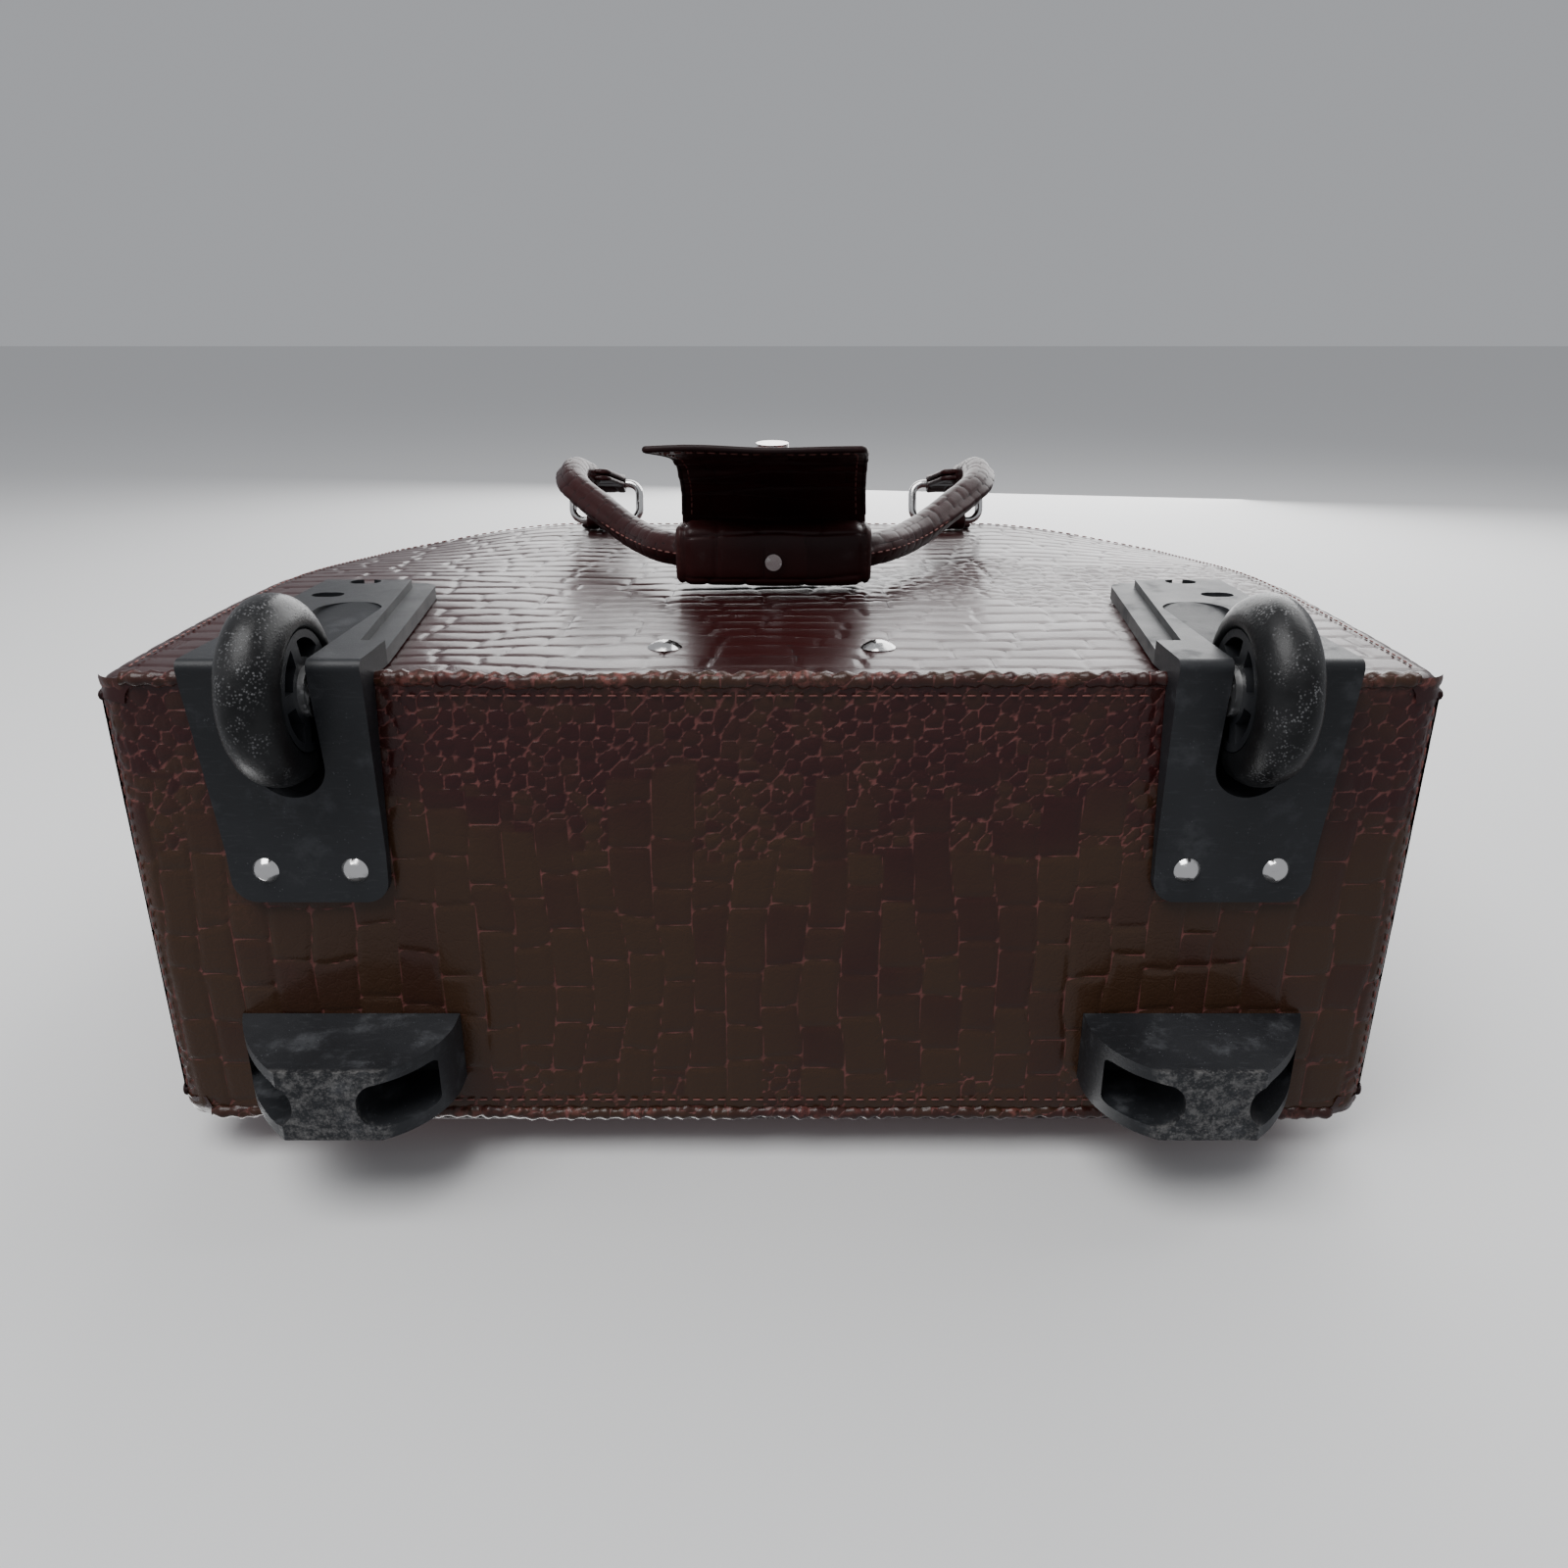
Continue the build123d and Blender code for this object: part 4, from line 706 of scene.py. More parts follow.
def cushion_slab(name, low, high, axis, sign, seed, finish, pitch, round_r, step=1.6, corner=0.0, carve=None):
    """A closed slab whose outer face is embossed: a grid face, its rim rolled over and a flat back."""
    low, high = np.array(low, float), np.array(high, float)
    other = [k for k in range(3) if k != axis]
    w, l = high[other[0]] - low[other[0]], high[other[1]] - low[other[1]]
    n, m = max(int(w / step), 12), max(int(l / step), 12)
    aa, bb = np.meshgrid(np.linspace(0, 1, n), np.linspace(0, 1, m), indexing="ij")
    v = bb * l
    shrink = quarter(corner, np.clip(corner - np.minimum(v, l - v), 0, corner))
    u = shrink + aa * (w - 2 * shrink)
    edge = np.minimum(np.minimum(u - shrink, w - shrink - u), np.minimum(v, l - v))
    roll = quarter(round_r, round_r - np.clip(edge, 0, round_r))
    d, tone = croc(u, v, *pitch, seed, None, 9.0, 0.4)
    rise = np.minimum(0.35 * cloud(u, v, 40.0, seed + 8) * ease(edge, 2, 10), 0)
    out = -roll + rise + relief(d, 0.35) * ease(edge, 1, 4) - 0.2
    back, top = (low[axis], high[axis])[::sign]
    face = np.zeros((n, m, 3))
    face[..., other[0]] = low[other[0]] + u
    face[..., other[1]] = low[other[1]] + v
    rear = face.copy()
    if carve is not None:
        cut = carve(face)
        out = np.where(cut > 0.2, 0, out) - cut
    face[..., axis] = top + sign * out
    rear[..., axis] = back
    index = np.arange(n * m).reshape(n, m)
    ring = np.concatenate([index[0, :-1], index[:-1, -1], index[-1, :0:-1], index[:0:-1, 0]])
    after = np.roll(ring, -1)
    wall = np.stack([after, ring, n * m + ring, n * m + after], axis=1)
    faces = np.concatenate([quads(n, m), quads(n, m, flip=True) + n * m, wall])
    points = np.concatenate([face.reshape(-1, 3), rear.reshape(-1, 3)])
    worn = 0.4 * ease(4 - edge, 0, 3) * ease(cloud(u, v, 9.0, seed), 0.2, 0.7)
    twice = {"groove": d, "tone": tone, "wear": worn}
    return mesh_piece(name, points, outward(points, faces), {k: np.tile(a.ravel(), 2) for k, a in twice.items()},
                      FINISH[finish])


def make_top():
    """The fixed rear deck and the two hinged lids."""
    for node, body, seed in (("top_deck", "case", 201), ("lid_rear", "top_lid_rear", 211),
                             ("lid_front", "top_lid_front", 221)):
        obj = cushion_slab(node + "_leather", *spot(node), 2, 1, seed, "back", (20.0, 14.0), 1.4)
        settle(obj, body, node)


def make_welt():
    """The turned, puckered edge of the base leather along the foot of the back and front panels."""
    pieces = []
    sides = 20
    around = turns(sides)[None, :] * 3
    rear = Y_REAR - 1.6
    for x0, x1, at in ((-204, -177, rear), (-127, 127, rear), (177, 204, rear), (-203, 203, Y_FRONT + 2.0)):
        x = np.linspace(x0, x1, int((x1 - x0) * 1.1))
        xx, aa = np.broadcast_arrays(x[:, None], around)
        path = points_at(x, at + 0.5 * cloud(x, 0, 17.0, 401), Z_BASE + 1.5 + 0.5 * cloud(x, 0, 13.0, 402))
        d, tone = pebbles(xx, aa, 7.5, 403)
        pucker = 0.35 * np.sin(xx * 1.05 + 2.0 * cloud(xx, aa, 14.0, 404)) + 0.3 * cloud(xx, aa, 6.0, 405)
        wear = ease(cloud(xx, aa, 10.0, 406), 0.0, 0.7) * 0.8
        piece = closed_tube("welt", path, 2.7 + pucker + relief(d, 0.35), FINISH["bottom"],
                            {"groove": d, "tone": tone, "wear": wear}, sides)
        pieces.append(settle(piece, "case"))
    join("base_welt", pieces)


def rim_path(front, inset, count=700):
    """A line round a panel's outline from foot to foot, inset from it, on the panel's face."""
    s = np.linspace(215.0, OUT_S[-1], count // 2)
    x, h = on_outline(s)
    length = np.gradient(s)
    nx, nh = np.gradient(h) / length, -np.gradient(x) / length
    size = np.maximum(np.hypot(nx, nh), 1e-6)
    x, h = x - inset * nx / size, h - inset * nh / size
    x, h = np.concatenate([-x, x[::-1][1:]]), np.concatenate([h, h[::-1][1:]])
    roll = quarter(RIM, max(RIM - inset, 0))
    return points_at(x, Y_FRONT + roll if front else Y_REAR - roll - sink(x, h), h + Z_BASE)


def make_seams():
    """Piping round both panels, and the rows of thread beside it and along the base."""
    cords, rows_of_thread = [], []
    for front, sign in ((False, 1), (True, -1)):
        path = rim_path(front, 0.6) - (0, 3.0 * sign, 0)
        cords.append(settle(closed_tube("piping", path, 1.5, FINISH["handle"], None, 12), "case"))
        rows_of_thread.append(rim_path(front, 9.5) + (0, 0.3 * sign, 0))
    join("panel_piping", cords)
    x = np.linspace(-120, 120, 160)
    rows_of_thread += [points_at(x, y, Z_BASE - 0.1) for y in (Y_REAR - 6.4, Y_FRONT + 8.0)]
    y = np.linspace(Y_FRONT + 12, Y_REAR - 10, 90)
    sx, sh = on_outline(211.0)
    rows_of_thread += [points_at(side * (sx + 0.25), y, Z_BASE + sh - 0.1) for side in (-1, 1)]
    join("case_thread", [stitches("thread", row, "case") for row in rows_of_thread])


def make_pocket():
    """The padded front pocket: a crowned leather panel with a groove for its zip."""
    low, high = spot("front_pocket")
    teeth_low, teeth_high = spot("pocket_zip_teeth")
    z0, z1 = teeth_low[2] - 0.35, teeth_high[2] + 0.35
    half = teeth_high[0] + 0.3

    def groove(face):
        inside = (face[..., 2] > z0) & (face[..., 2] < z1) & (np.abs(face[..., 0]) < half)
        return np.where(inside, 5.5, 0.0)

    def belly(face):
        """The lower half, where nothing hangs in front, fills out."""
        x, up = face[..., 0], face[..., 2] - low[2]
        return 6.0 * ease(up, 0, 26) * (1 - ease(up, 48, 100)) * ease(half + 12 - np.abs(x), 0, 60)

    corner = 16.0
    obj = cushion_slab("pocket_leather", low + (0.3, 0.3, 0.3), high - (0.3, 0.0, 0.3), 1, -1, 501, "back",
                       (22.0, 13.0), 4.0, 1.5, corner, lambda face: groove(face) - belly(face))
    settle(obj, "case", "front_pocket")
    x0, x1, foot, top = low[0] + 6, high[0] - 6, low[2] + 6, high[2] - 6
    bend = 10.0
    a = np.linspace(0, np.pi / 2, 14)
    xs = np.concatenate([x1 - bend + bend * np.sin(a), x1 - bend + bend * np.cos(a), x0 + bend - bend * np.sin(a),
                         x0 + bend - bend * np.cos(a), [x1 - bend]])
    zs = np.concatenate([top - bend + bend * np.cos(a), foot + bend - bend * np.sin(a), foot + bend - bend * np.cos(a),
                         top - bend + bend * np.sin(a), [top]])
    row = points_at(xs, low[1] + 0.5, zs)
    row[:, 1] -= belly(row)
    stitches("pocket_thread", row, "case")
    a = np.linspace(0, np.pi / 2, 30)[1:-1]
    x0, z0 = low[0] + corner, low[2] + corner
    xs = np.concatenate([np.linspace(high[0] - corner, x0, 300), x0 - corner * np.sin(a), np.full(40, low[0])])
    zs = np.concatenate([np.full(300, low[2]), z0 - corner * np.cos(a), np.linspace(z0, low[2] + 60, 40)])
    xs = np.concatenate([-xs[:299:-1], xs])
    zs = np.concatenate([zs[:299:-1], zs])
    edge = points_at(xs - 1.2 * np.sign(xs), low[1] + 3.6, zs + 1.0)
    settle(closed_tube("pocket_piping", edge, 1.6, FINISH["handle"], None, 12), "case")


def make_inside():
    """The cloth lining, a hung bag with slack folds, and the padded laptop divider."""
    low, high = spot("lining")
    low, high = low + 0.2, high - 0.2
    t, turn = np.meshgrid(np.linspace(0, 1, 90), turns(240), indexing="ij")
    closing = np.clip(t / 0.1, 0, 1)
    h = low[2] - Z_BASE + (high[2] - low[2]) * np.clip((t - 0.1) / 0.9, 0, 1)
    cx, cy = squared(turn, 0.24)
    shrink = np.maximum(closing, 0.02)
    x = (side_x(h) - 6.9 - 6.0 * (1 - closing) ** 2) * cx * shrink
    across = (high[1] - low[1]) / 2 * cy * shrink
    slack = 1.1 * cloud(turn * 160, h, 38.0, 601) + 0.4 * cloud(turn * 160, h, 13.0, 602)
    fold = np.clip(slack, -1.4, 1.2) * ease(t, 0.12, 0.3) + 1.6
    x = x - np.sign(x) * fold * (np.abs(cx) > 0.6)
    across = across - np.sign(across) * fold * (np.abs(cy) > 0.6)
    grid = points_at(x, (low[1] + high[1]) / 2 + across, Z_BASE + h)
    bag = sheet_piece("lining_cloth", grid, FINISH["lining"], {}, wrap_m=True, flip=True)
    solid = bag.modifiers.new("cloth", "SOLIDIFY")
    solid.thickness = 0.0006
    solid.offset = 0.0
    settle(bag, "case", "lining")
    low, high = spot("laptop_divider")
    pad = cushion_slab("divider_pad", low + 0.2, high - 0.2, 1, -1, 611, "cloth_pad", (60.0, 60.0), 3.2, 3.0, 8.0)
    settle(pad, "case", "laptop_divider")


# ------------------------------------------------------------------ wheels
def make_tyre(side, name):
    """A tyre turned from a rounded profile, its tread worn."""
    low, high = spot("tyre_" + name)
    cx, cy, cz = (low + high) / 2
    outer, inner, shoulder = (high[2] - low[2]) / 2, 18.9, 9.5
    wall = (high[0] - low[0]) / 2 - 1.2
    start = (high[0] - low[0]) / 2 - shoulder
    a = np.linspace(0, np.pi / 2, 12)
    prof_x = np.concatenate([[-wall], -start - shoulder * np.cos(a), start + shoulder * np.sin(a), [wall]])
    tread = outer - shoulder
    prof_r = np.concatenate([[inner], tread + shoulder * np.sin(a), tread + shoulder * np.cos(a), [inner]])
    tt, px = np.meshgrid(turns(96), prof_x, indexing="ij")
    pr = np.broadcast_to(prof_r, px.shape)
    r = pr - 0.12 * ease(cloud(tt * 9, px, 2.5, 3 + side), 0, 1) * (pr > outer - 6)
    grid = points_at(cx + px, cy + r * np.cos(tt), cz + r * np.sin(tt))
    wear = ease(pr, outer - 5.5, outer - 0.8)
    obj = sheet_piece("tyre_skin_" + name, grid, FINISH["tyre"], {"wear": wear}, wrap_n=True, wrap_m=True, flip=True)
    settle(obj, "wheel_" + name, "tyre_" + name)


# ------------------------------------------------------------------ handles
def stitches(name, path, body, finish="thread", length=3.0, gap=1.5, radius=0.32):
    """A row of short thread capsules along a path, each a small closed six-sided bead."""
    run = lengths(path)
    count = max(int(run[-1] / (length + gap)), 1)
    mid = (np.arange(count) + 0.5) * run[-1] / count
    a, b = (np.stack([np.interp(at, run, path[:, k]) for k in range(3)], axis=-1)
            for at in (mid - length / 2, mid + length / 2))
    along = unit(b - a)
    p = unit(np.cross(along, np.where(np.abs(along[:, 2:3]) > 0.9, [[1.0, 0, 0]], [[0, 0, 1.0]])))
    q = np.cross(along, p)
    t, r = np.array(((0.0, 0.02), (0.08, 0.7), (0.3, 1.0), (0.7, 1.0), (0.92, 0.7), (1.0, 0.02))).T[:, :, None, None]
    w = turns(6)[:, None]
    a, b, p, q = (v[:, None, None] for v in (a, b, p, q))
    grid = a + (b - a) * t + radius * r * (p * np.cos(w) + q * np.sin(w))
    faces = (quads(6, 6, wrap_m=True)[None] + (np.arange(count) * 36)[:, None, None]).reshape(-1, 4)
    return settle(mesh_piece(name, grid.reshape(-1, 3), faces, {}, FINISH[finish]), body)


def far_bar(end):
    """Middle of the ring's far bar as (y, z), found from the ring's box."""
    low, high = spot("rings_" + end)
    return high[1] - WIRE_R if end == "rear" else low[1] + WIRE_R, high[2] - WIRE_R


WIRE_R = 2.1
RING_X = 92.0
ROLL_DROP = 158.0  # the middle of a handle below its rings' far bars
# The handle's middle line: out from the case's middle, down from the far bar, off the panel's face.
HANDLE_X = (101.0, 96.0, 82.0, 64.0, 44.0, 22.0)
HANDLE_DOWN = (43.0, 72.0, 92.0, 116.0, 149.0, ROLL_DROP)
OUTS = {"rear": (35.0, 31.0, 24.0, 16.0, 14.5, 14.3), "front": (37.0, 34.0, 30.0, 26.5, 25.0, 24.8)}


def handle_path(end):
    """The middle line of a rolled handle from its left tab to its right one."""
    face, sign = panel(end)
    bar_y, bar_z = far_bar(end)
    half = [np.array((x, face + sign * o, bar_z - d)) for x, d, o in zip(HANDLE_X, HANDLE_DOWN, OUTS[end])]
    bar = np.array((RING_X, bar_y, bar_z))
    half = [bar + unit(half[0] - bar) * 27] + half
    left = [p * (-1, 1, 1) for p in half]
    return curve(np.array(left + half[::-1]), 420)


def make_roll(end):
    """The rolled leather of a handle, with its sewn ridge on the outer side."""
    path = handle_path(end)
    sides = 40
    away = path - (0, path[:, 1].mean(), path[:, 2].max())
    away[:, 1] = 0
    away = unit(away)
    ray = tube(path, 1.0, sides) - path[:, None]
    angle = np.arccos(np.clip(np.einsum("nsk,nk->ns", ray, away), -1, 1))
    ridge = 2.4 * np.exp(-(angle / 0.27) ** 2)
    s, around = np.meshgrid(np.arange(len(path)), turns(sides) * 7.5, indexing="ij")
    d, tone = croc(s * 0.9, around, 9.0, 6.5, 301, None, 6.0, 0.3)
    radius = 7.0 + ridge + relief(d, 0.22) + 0.15 * cloud(s, around, 13.0, 303)
    wear = 0.5 * ease(ridge, 1.2, 2.4) * ease(cloud(s, around, 9, 5), 0.1, 0.7)
    obj = closed_tube("handle_roll_leather_" + end, path, radius, FINISH["handle"],
                      {"groove": d, "tone": tone, "wear": wear}, sides)
    settle(obj, "handle_" + end, "handle_roll_" + end)
    edge = (path + away * 8.3)[10:-10]
    stitches("handle_thread_" + end, edge, "handle_" + end, "thread", 3.0, 1.6, 0.35)


def across_path(path):
    """The normals of a path that lies in the y-z plane."""
    tangent = unit(np.gradient(path, axis=0))
    return points_at(0, -tangent[:, 2], tangent[:, 1])


def level_sheet(x, along):
    """The same at every place: a strap that is neither bent nor calmed."""
    return 0 * x


def strap(name, path, half, thick, body, seed, middle=0.0, pitch=(13.0, 11.0), bend=level_sheet, smooth=level_sheet):
    """A closed leather strip swept along a path in the y-z plane, as wide as half either side of its middle.
    Its section is an oblong with round sides; bend moves both faces together and smooth calms the relief."""
    count = len(path)
    across = np.linspace(-1, 1, 44)
    round_a = np.linspace(np.pi / 2, -np.pi / 2, 7)[1:-1]
    spread = np.concatenate([across, np.ones(5), across[::-1], -np.ones(5)])
    swell = np.concatenate([across * 0, np.cos(round_a), across * 0, -np.cos(round_a)])
    level = np.concatenate([across * 0 + 1, np.sin(round_a), across * 0 - 1, -np.sin(round_a)])
    half, middle = (np.broadcast_to(v, (count,))[:, None] for v in (half, middle))
    x = middle + (half - thick / 2) * spread + swell * thick / 2
    along = np.broadcast_to(lengths(path)[:, None], x.shape)
    d, tone = croc(x - middle + 200, along + 90 * (level > 0), *pitch, seed, None, 8.0, 0.3)
    rim = half - np.abs(x - middle)
    calm = ease(rim, 1, 4) * (1 - smooth(x, along))
    swing = bend(x, along)
    ends = [0] + list(range(count)) + [count - 1]
    lift = (level * (thick / 2 + (relief(d, 0.3) - 0.1) * calm) + swing)[ends]
    lift[[0, -1]] = swing[[0, -1]]
    grid = path[ends][:, None] + across_path(path)[ends][:, None] * lift[..., None]
    grid[..., 0] = x[ends]
    worn = 0.55 * ease(2.5 - rim, 0, 2) * ease(cloud(x, along, 8.0, seed), -0.2, 0.6)
    points = grid.reshape(-1, 3)
    obj = mesh_piece(name, points, outward(points, quads(count + 2, x.shape[1], wrap_m=True)),
                     {"groove": d[ends], "tone": tone[ends], "wear": worn[ends]}, FINISH["handle"])
    return settle(weld(obj), body, None)


def join(name, objects):
    """One piece out of several with the same parent."""
    bpy.ops.object.select_all(action="DESELECT")
    for obj in objects:
        obj.select_set(True)
    bpy.context.view_layer.objects.active = objects[0]
    bpy.ops.object.join()
    objects[0].name = name
    return objects[0]


def rounded_end(v, last, radius):
    """How much narrower a strip gets near its end for rounded corners."""
    return quarter(radius, np.clip(radius - (last - v), 0, radius))


def make_tabs(end):
    """The flat handle ends, each a strap folded round its ring's far bar and sewn to itself."""
    face, sign = panel(end)
    bar_y, bar_z = far_bar(end)
    ty, tz = face + sign * OUTS[end][0], bar_z - HANDLE_DOWN[0]
    lean = math.atan2(abs(ty - bar_y), bar_z - tz)
    slant = (HANDLE_X[0] - RING_X) / (bar_z - tz)
    v = np.concatenate([np.linspace(34, 0, 46), np.zeros(13), np.linspace(0, 34, 46)])
    turn = np.concatenate([np.zeros(46), np.linspace(0, np.pi, 13), np.full(46, np.pi)])
    wide = 1.6 + 1.95 * (1 - ease(v, 0, 10))
    n, drop = wide * np.cos(turn), v - 3.55 * np.sin(turn)
    path = points_at(0, bar_y + sign * (drop * math.sin(lean) + n * math.cos(lean)),
                     bar_z - drop * math.cos(lean) + n * math.sin(lean))
    keep = np.concatenate([[True], np.diff(lengths(path)) > 1e-6])
    path, v = path[keep], v[keep]
    half = 10.4 + 3.0 * ease(v, 7.5, 11) - rounded_end(v, 34, 3.5)
    out = np.array([0, sign * math.cos(lean), math.sin(lean)]) * 1.45
    lay = slice(3, 34)
    pieces, threads = [], []
    for side in (-1, 1):
        middle = side * (RING_X + slant * v * ease(v, 4, 12))
        pieces.append(strap("tab", path, half, 2.5, "handle_" + end, 340 + side, middle))
        for edge in (-1, 1):
            x = middle + edge * (half - 2.6)
            row = points_at(x, path[:, 1], path[:, 2])[lay] + out
            threads.append(stitches("tab_thread", row, "handle_" + end, "thread_light", 2.4, 1.2, 0.3))
    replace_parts(join("handle_tab_leather_" + end, pieces), "handle_tabs_" + end)
    join("handle_tab_thread_" + end, threads)


def make_chapes(end):
    """The short straps sewn to the panel, folded round the near bars of the rings."""
    face, sign = panel(end)
    z = spot("chapes_" + end)[1][2] - 18.0
    turn = np.linspace(np.pi, 2.42 * np.pi, 30)
    out = np.concatenate([np.linspace(1.6, 1.7, 20), 5.5 + 3.55 * np.cos(turn), [3.6, 3.4]])
    up = np.concatenate([np.linspace(17.8, 0.6, 20), 3.55 * np.sin(turn), [6.4, 8.5]])
    path = curve(points_at(0, face + sign * out, z + up), 90)
    h = path[:, 2] - z
    run = np.linspace(0, 1, 90)
    half = 10.4 + 4.4 * ease(h, 4.2, 6.5) * (run < 0.45) - rounded_end(h, 17.8, 2.5) * (run < 0.3)
    y = face + sign * 2.9
    pieces, threads = [], []
    for side in (-1, 1):
        x = side * RING_X
        pieces.append(strap("chape", path, half, 2.4, "case", 350 + side, x))
        rows_of_thread = [points_at(x + edge, y, z + np.linspace(7, 16.5, 12)) for edge in (-12.3, 12.3)]
        rows_of_thread.append(points_at(x + np.linspace(-11, 11, 12), y, z + 15.6))
        threads += [stitches("chape_thread", row, "case", "thread_light", 2.4, 1.2, 0.3) for row in rows_of_thread]
    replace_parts(join("chape_leather_" + end, pieces), "chapes_" + end)
    join("chape_thread_" + end, threads)


# Each flap from its hinge: out from the panel and up.
FLAPS = {"rear": ((0.0, 0.0), (13.0, -11.0), (20.0, -22.0), (29.0, -38.0), (36.0, -71.0)),
         "front": ((0.0, 0.0), (4.0, -8.0), (4.6, -16.0), (1.0, -28.0), (-10.0, -31.0), (-22.0, -31.0))}


def make_flap(end):
    """The snap flap of a handle's wrap: one curved leaf, bound along its edges and sewn."""
    face, sign = panel(end)
    body = "flap_" + end
    hinge_y = face + sign * (OUTS[end][-1] + 13.3 - 2.4)
    hinge_z = far_bar(end)[1] - ROLL_DROP + 13.0 + 0.8
    steps = 110
    path = curve([(0.0, hinge_y + sign * a, hinge_z + b) for a, b in FLAPS[end]], steps)
    length = float(lengths(path)[-1])
    t = np.linspace(0, 1, steps)
    loose = 1.0 if end == "rear" else 0.0
    half = 39.2 + loose * (1.6 * t ** 3 - 2.0 * np.sin(np.pi * t)) - rounded_end(t * length, length, 2.5)
    middle = loose * 7.0 * t ** 4

    def smooth(x, along):
        """1 where the snap's socket sits, 0 away from it."""
        return np.exp(-(np.hypot(x, along - length + 11.0) / 8.5) ** 6)

    def bend(x, along):
        """Three soft folds across the open leaf, with a slow swell."""
        wave = along + 3.5 * cloud(x, 0 * along, 24.0, 361) + 0.06 * x
        fold = sum(-k * np.exp(-((wave - length * at) / 2.2) ** 2) for at, k in ((0.30, 0.9), (0.47, 1.2), (0.62, 0.8)))
        return loose * (fold + 0.8 * cloud(x, along, 30.0, 363)) * (1 - smooth(x, along)) * ease(along, 4, 14)

    obj = strap("flap_leather_" + end, path, half, 2.1, body, 360, middle, (19.0, 14.0), bend, smooth)
    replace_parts(obj, "wrap_flap_" + end)
    normal = across_path(path)

    def line(inset, lift, rows):
        """A line on the leaf, inset from its edge: down one side, across its end and up the other."""
        x0, x1 = middle - half + inset, middle + half - inset
        last = rows[-1]
        xs = np.concatenate([x0[rows], np.linspace(x0[last], x1[last], 60), x1[rows][::-1]])
        k = np.concatenate([rows, np.full(60, last), rows[::-1]])
        on = path[k] + normal[k] * (lift + bend(xs, t[k] * length))[:, None]
        on[:, 0] = xs
        return on

    edge = line(0.9, 0.0, np.arange(6, steps - 1))
    binding = settle(closed_tube("flap_binding_" + end, edge, 1.25, FINISH["handle"], None, 10), body, None)
    inner = np.arange(6, int(steps - 1 - 4 * steps / length))
    threads = [stitches("flap_thread", line(4.0, lift, inner), body, "thread", 2.8, 1.3, 0.3)
               for lift in (-1.15, 1.15)]
    thread = join("flap_thread_" + end, threads)


def make_wrap(end):
    """The padded wrap round the middle of a handle: a rounded embossed band with sewn edges."""
    low, high = spot("wrap_band_" + end)
    cy, cz = (low[1] + high[1]) / 2, (low[2] + high[2]) / 2
    if end == "rear":
        cz = far_bar(end)[1] - ROLL_DROP
    ry, rz = 13.1, 12.9
    half = high[0] - 0.2
    xx, tt = np.meshgrid(np.linspace(-half, half, 72), turns(96), indexing="ij")
    d, tone = croc(xx, tt * 13.0, 19.0, 13.6, 320, None, 8.0, 0.25)
    rim = half - np.abs(xx)
    seam = 0.9 * np.exp(-((rim - 3.6) / 1.1) ** 2)
    size = relief(d, 0.4) * ease(rim, 2, 6) - 2.2 * np.exp(-rim / 1.2) - seam
    size = size + 0.35 * cloud(xx, tt * 13, 22.0, 321) - 0.4
    cy_t, cz_t = squared(tt, 0.45)
    grid = points_at(xx, cy + (ry + size) * cy_t, cz + (rz + size) * cz_t)
    left = points_at(0.3 - half, cy + 7.4 * np.cos(tt[:1]), cz + 7.4 * np.sin(tt[:1]))
    grid = np.concatenate([left, grid, left * (-1, 1, 1)])
    marks = {"groove": d, "tone": tone, "wear": 0.5 * ease(4 - rim, 0, 3)}
    marks = {key: np.concatenate([v[:1], v, v[-1:]]) for key, v in marks.items()}
    obj = sheet_piece("wrap_leather_" + end, grid, FINISH["handle"], marks, wrap_m=True)
    settle(obj, "handle_" + end, "wrap_band_" + end)


# ------------------------------------------------------------------ settings, operators and panel
def tint(name, description, default):
    """A colour setting."""
    return bpy.props.FloatVectorProperty(name=name, description=description, subtype="COLOR", default=default,
                                         min=0, max=1)


class CaseLook(bpy.types.PropertyGroup):
    # This brown is the base's colour away from its rear edge, where it also stands for a painted reflection of a brown
    # table.
    leather: tint("Leather", "Colour of the raised scales", (0.046, 0.0205, 0.0095))
    leather_dark: tint("Dark leather", "Colour of the darker scales", (0.032, 0.0058, 0.0058))
    groove_light: tint("Base grooves", "Colour of the base's grooves", (0.180, 0.058, 0.052))
    groove_dark: tint("Back grooves", "Colour of the back's grooves", (0.010, 0.003, 0.0035))
    plastic: tint("Plastic", "Colour of the moulded fittings", (0.0105, 0.0115, 0.0135))


class CaseStage(bpy.types.PropertyGroup):
    floor: tint("Floor", "Colour of the floor", (0.80, 0.80, 0.80))
    lens: bpy.props.FloatProperty(name="Lens", description="Focal length in millimetres", default=27.05)
    pitch: bpy.props.FloatProperty(name="Pitch", description="Camera's turn away from straight up the case",
                                   default=math.radians(20.92), subtype="ANGLE")
    above: bpy.props.FloatProperty(name="Off the back", description="Camera's distance off the back face",
                                   default=0.1001, unit="LENGTH")
    below: bpy.props.FloatProperty(name="Below the base", description="Camera's distance below the base face",
                                   default=0.3564, unit="LENGTH")


class CASE_OT_finishes(bpy.types.Operator):
    """Make the materials and dress the CAD nodes"""
    bl_idname = "case.finishes"
    bl_label = "Finishes"

    def execute(self, context):
        build_finishes(context.scene.case_look)
        dress_cad()
        return {"FINISHED"}


class CASE_OT_body(bpy.types.Operator):
    """Make the leather of the case body"""
    bl_idname = "case.body"
    bl_label = "Case leather"

    def execute(self, context):
        make_bottom()
        for front in (False, True):
            make_back(front)
        for side in (-1, 1):
            make_gusset(side)
        make_top()
        make_welt()
        make_seams()
        make_pocket()
        make_inside()
        return {"FINISHED"}


class CASE_OT_wheels(bpy.types.Operator):
    """Make the tyres"""
    bl_idname = "case.wheels"
    bl_label = "Tyres"

    def execute(self, context):
        make_tyre(-1, "left")
        make_tyre(1, "right")
        return {"FINISHED"}


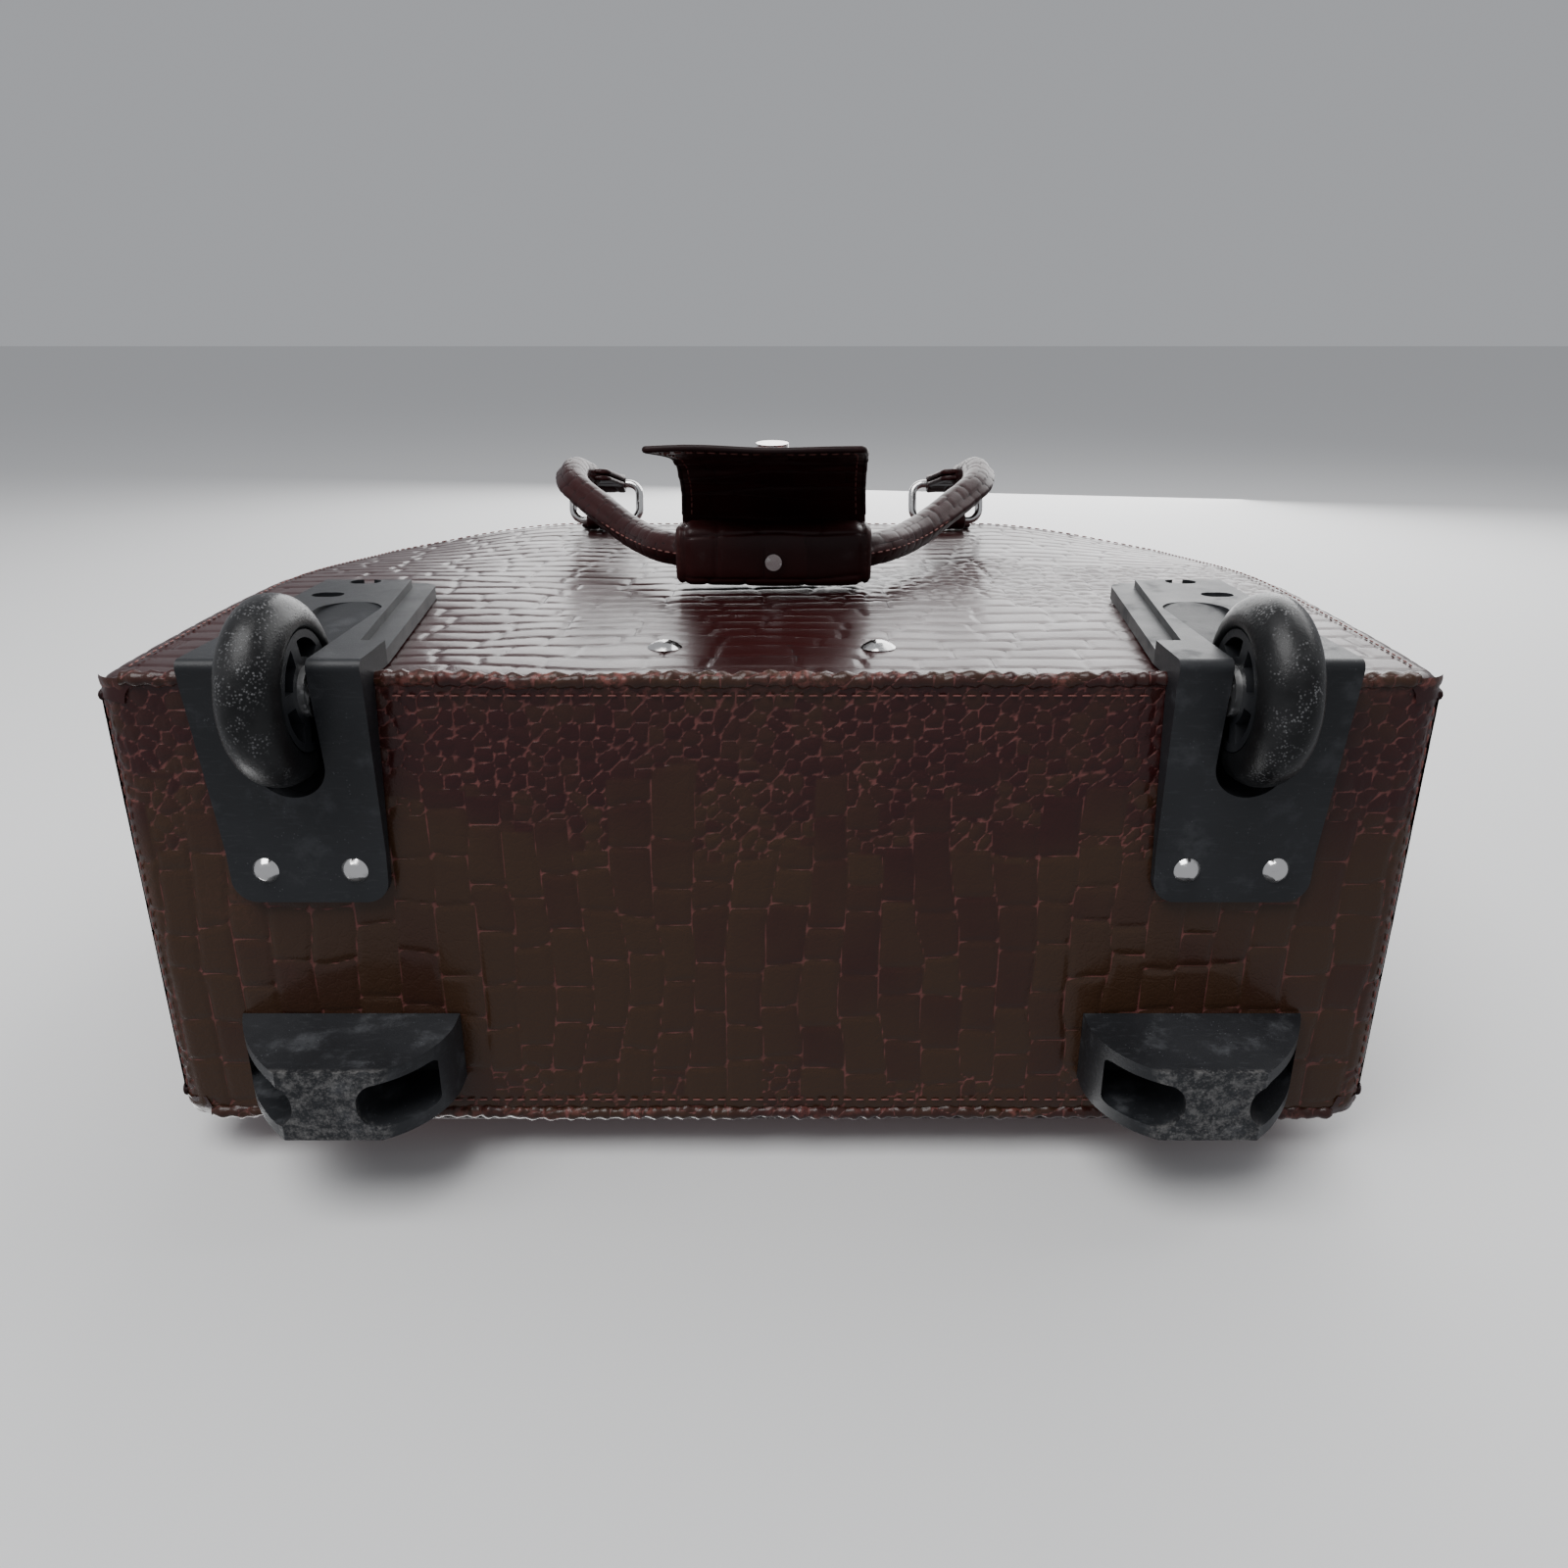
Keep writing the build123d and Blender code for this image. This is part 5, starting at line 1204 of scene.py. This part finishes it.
class CASE_OT_handles(bpy.types.Operator):
    """Make the rolled handles and their wraps"""
    bl_idname = "case.handles"
    bl_label = "Handles"

    def execute(self, context):
        for end in ("rear", "front"):
            make_roll(end)
            make_wrap(end)
            make_tabs(end)
            make_chapes(end)
            make_flap(end)
        return {"FINISHED"}


def area_light(name, place, aim, size, power):
    """A soft square light at a place, turned to its aim."""
    data = bpy.data.lights.new(name, "AREA")
    data.energy = power
    data.size = size
    obj = bpy.data.objects.new(name, data)
    forward = unit(np.subtract(aim, place))
    right = unit(np.cross(forward, (0.0, 0.0, 1.0)))
    turned = Matrix((right, np.cross(right, forward), -forward)).transposed().to_4x4()
    obj.matrix_world = Matrix.Translation(place) @ turned
    bpy.context.scene.collection.objects.link(obj)


def one_sided(name, points, colour, split):
    """A plain sheet seen only from its front; with split, its part above the floor shows only through the floor."""
    mesh = bpy.data.meshes.new(name)
    mesh.from_pydata(points, [], [(0, 1, 2, 3)])
    obj = bpy.data.objects.new(name, mesh)
    bpy.context.scene.collection.objects.link(obj)
    material = bpy.data.materials.new(name)
    material.use_nodes = True
    tree = material.node_tree
    tree.nodes.clear()
    out = tree.nodes.new("ShaderNodeOutputMaterial")
    face = tree.nodes.new("ShaderNodeBsdfDiffuse")
    face.inputs[0].default_value = (*colour, 1)
    clear = tree.nodes.new("ShaderNodeBsdfTransparent")
    mix = tree.nodes.new("ShaderNodeMixShader")
    hide = Wire(tree, tree.nodes.new("ShaderNodeNewGeometry").outputs["Backfacing"])
    if split:
        passed = Wire(tree, tree.nodes.new("ShaderNodeLightPath").outputs["Transparent Depth"])
        height = tree.nodes.new("ShaderNodeSeparateXYZ")
        tree.links.new(tree.nodes.new("ShaderNodeNewGeometry").outputs["Position"], height.inputs[0])
        above = Wire(tree, height.outputs[2]).math("GREATER_THAN", 0.0)
        hide = hide.most(above * passed.math("LESS_THAN", 0.5))
    put(tree, mix.inputs[0], hide)
    tree.links.new(face.outputs[0], mix.inputs[1])
    tree.links.new(clear.outputs[0], mix.inputs[2])
    tree.links.new(mix.outputs[0], out.inputs[0])
    mesh.materials.append(material)
    obj.visible_diffuse = obj.visible_glossy = obj.visible_transmission = False
    obj.visible_shadow = obj.visible_volume_scatter = False


class CASE_OT_stage(bpy.types.Operator):
    """Make the floor, the table the case lies on, the lights and the camera"""
    bl_idname = "case.stage"
    bl_label = "Stage"

    def execute(self, context):
        stage = context.scene.case_stage
        colour = tuple(stage.floor)
        big = 30.0
        table = (spot("front_pocket")[0][1] - 6.5) * MM
        one_sided("floor", [(-big, -big, 0), (big, -big, 0), (big, big, 0), (-big, big, 0)], colour, False)
        one_sided("table", [(-big, table, -big), (-big, table, big), (big, table, big), (big, table, -big)],
                  colour, True)
        world = bpy.data.worlds.new("studio")
        world.use_nodes = True
        sky = world.node_tree.nodes["Background"]
        sky.inputs["Color"].default_value = (0.93, 0.95, 1.0, 1)
        sky.inputs["Strength"].default_value = 0.42
        context.scene.world = world
        middle = (0, 0, 0.19)
        area_light("key", (0.5, 1.5, -0.5), middle, 1.2, 26)
        area_light("over", (-0.3, 0.6, 1.7), middle, 1.6, 30)
        area_light("rear_soft", (-1.2, 1.4, 0.9), middle, 1.4, 16)
        area_light("front_soft", (0.9, -1.7, 0.8), middle, 1.5, 26)
        data = bpy.data.cameras.new("camera")
        data.sensor_width = 36
        data.lens = stage.lens
        camera = bpy.data.objects.new("camera", data)
        c, s = math.cos(stage.pitch), math.sin(stage.pitch)
        place = (-4.3 * MM, Y_REAR * MM + stage.above, Z_BASE * MM - stage.below)
        camera.matrix_world = Matrix(((-1, 0, 0, place[0]), (0, c, s, place[1]), (0, s, -c, place[2]), (0, 0, 0, 1)))
        context.scene.collection.objects.link(camera)
        context.scene.camera = camera
        return {"FINISHED"}


class CASE_PT_panel(bpy.types.Panel):
    bl_idname = "CASE_PT_panel"
    bl_label = "Rolling laptop case"
    bl_space_type = "VIEW_3D"
    bl_region_type = "UI"
    bl_category = "Case"

    def draw(self, context):
        for group in (context.scene.case_look, context.scene.case_stage):
            for key in group.__annotations__:
                self.layout.prop(group, key)
        for operator in OPERATORS:
            self.layout.operator(operator.bl_idname)


OPERATORS = (CASE_OT_finishes, CASE_OT_body, CASE_OT_wheels, CASE_OT_handles, CASE_OT_stage)
CLASSES = (CaseLook, CaseStage) + OPERATORS + (CASE_PT_panel,)


def register():
    for cls in CLASSES:
        bpy.utils.register_class(cls)
    bpy.types.Scene.case_look = bpy.props.PointerProperty(type=CaseLook)
    bpy.types.Scene.case_stage = bpy.props.PointerProperty(type=CaseStage)


def unregister():
    del bpy.types.Scene.case_look
    del bpy.types.Scene.case_stage
    for cls in reversed(CLASSES):
        bpy.utils.unregister_class(cls)


def main():
    register()
    bpy.ops.case.finishes()
    bpy.ops.case.body()
    bpy.ops.case.wheels()
    bpy.ops.case.handles()
    bpy.ops.case.stage()


if __name__ == "__main__":
    main()
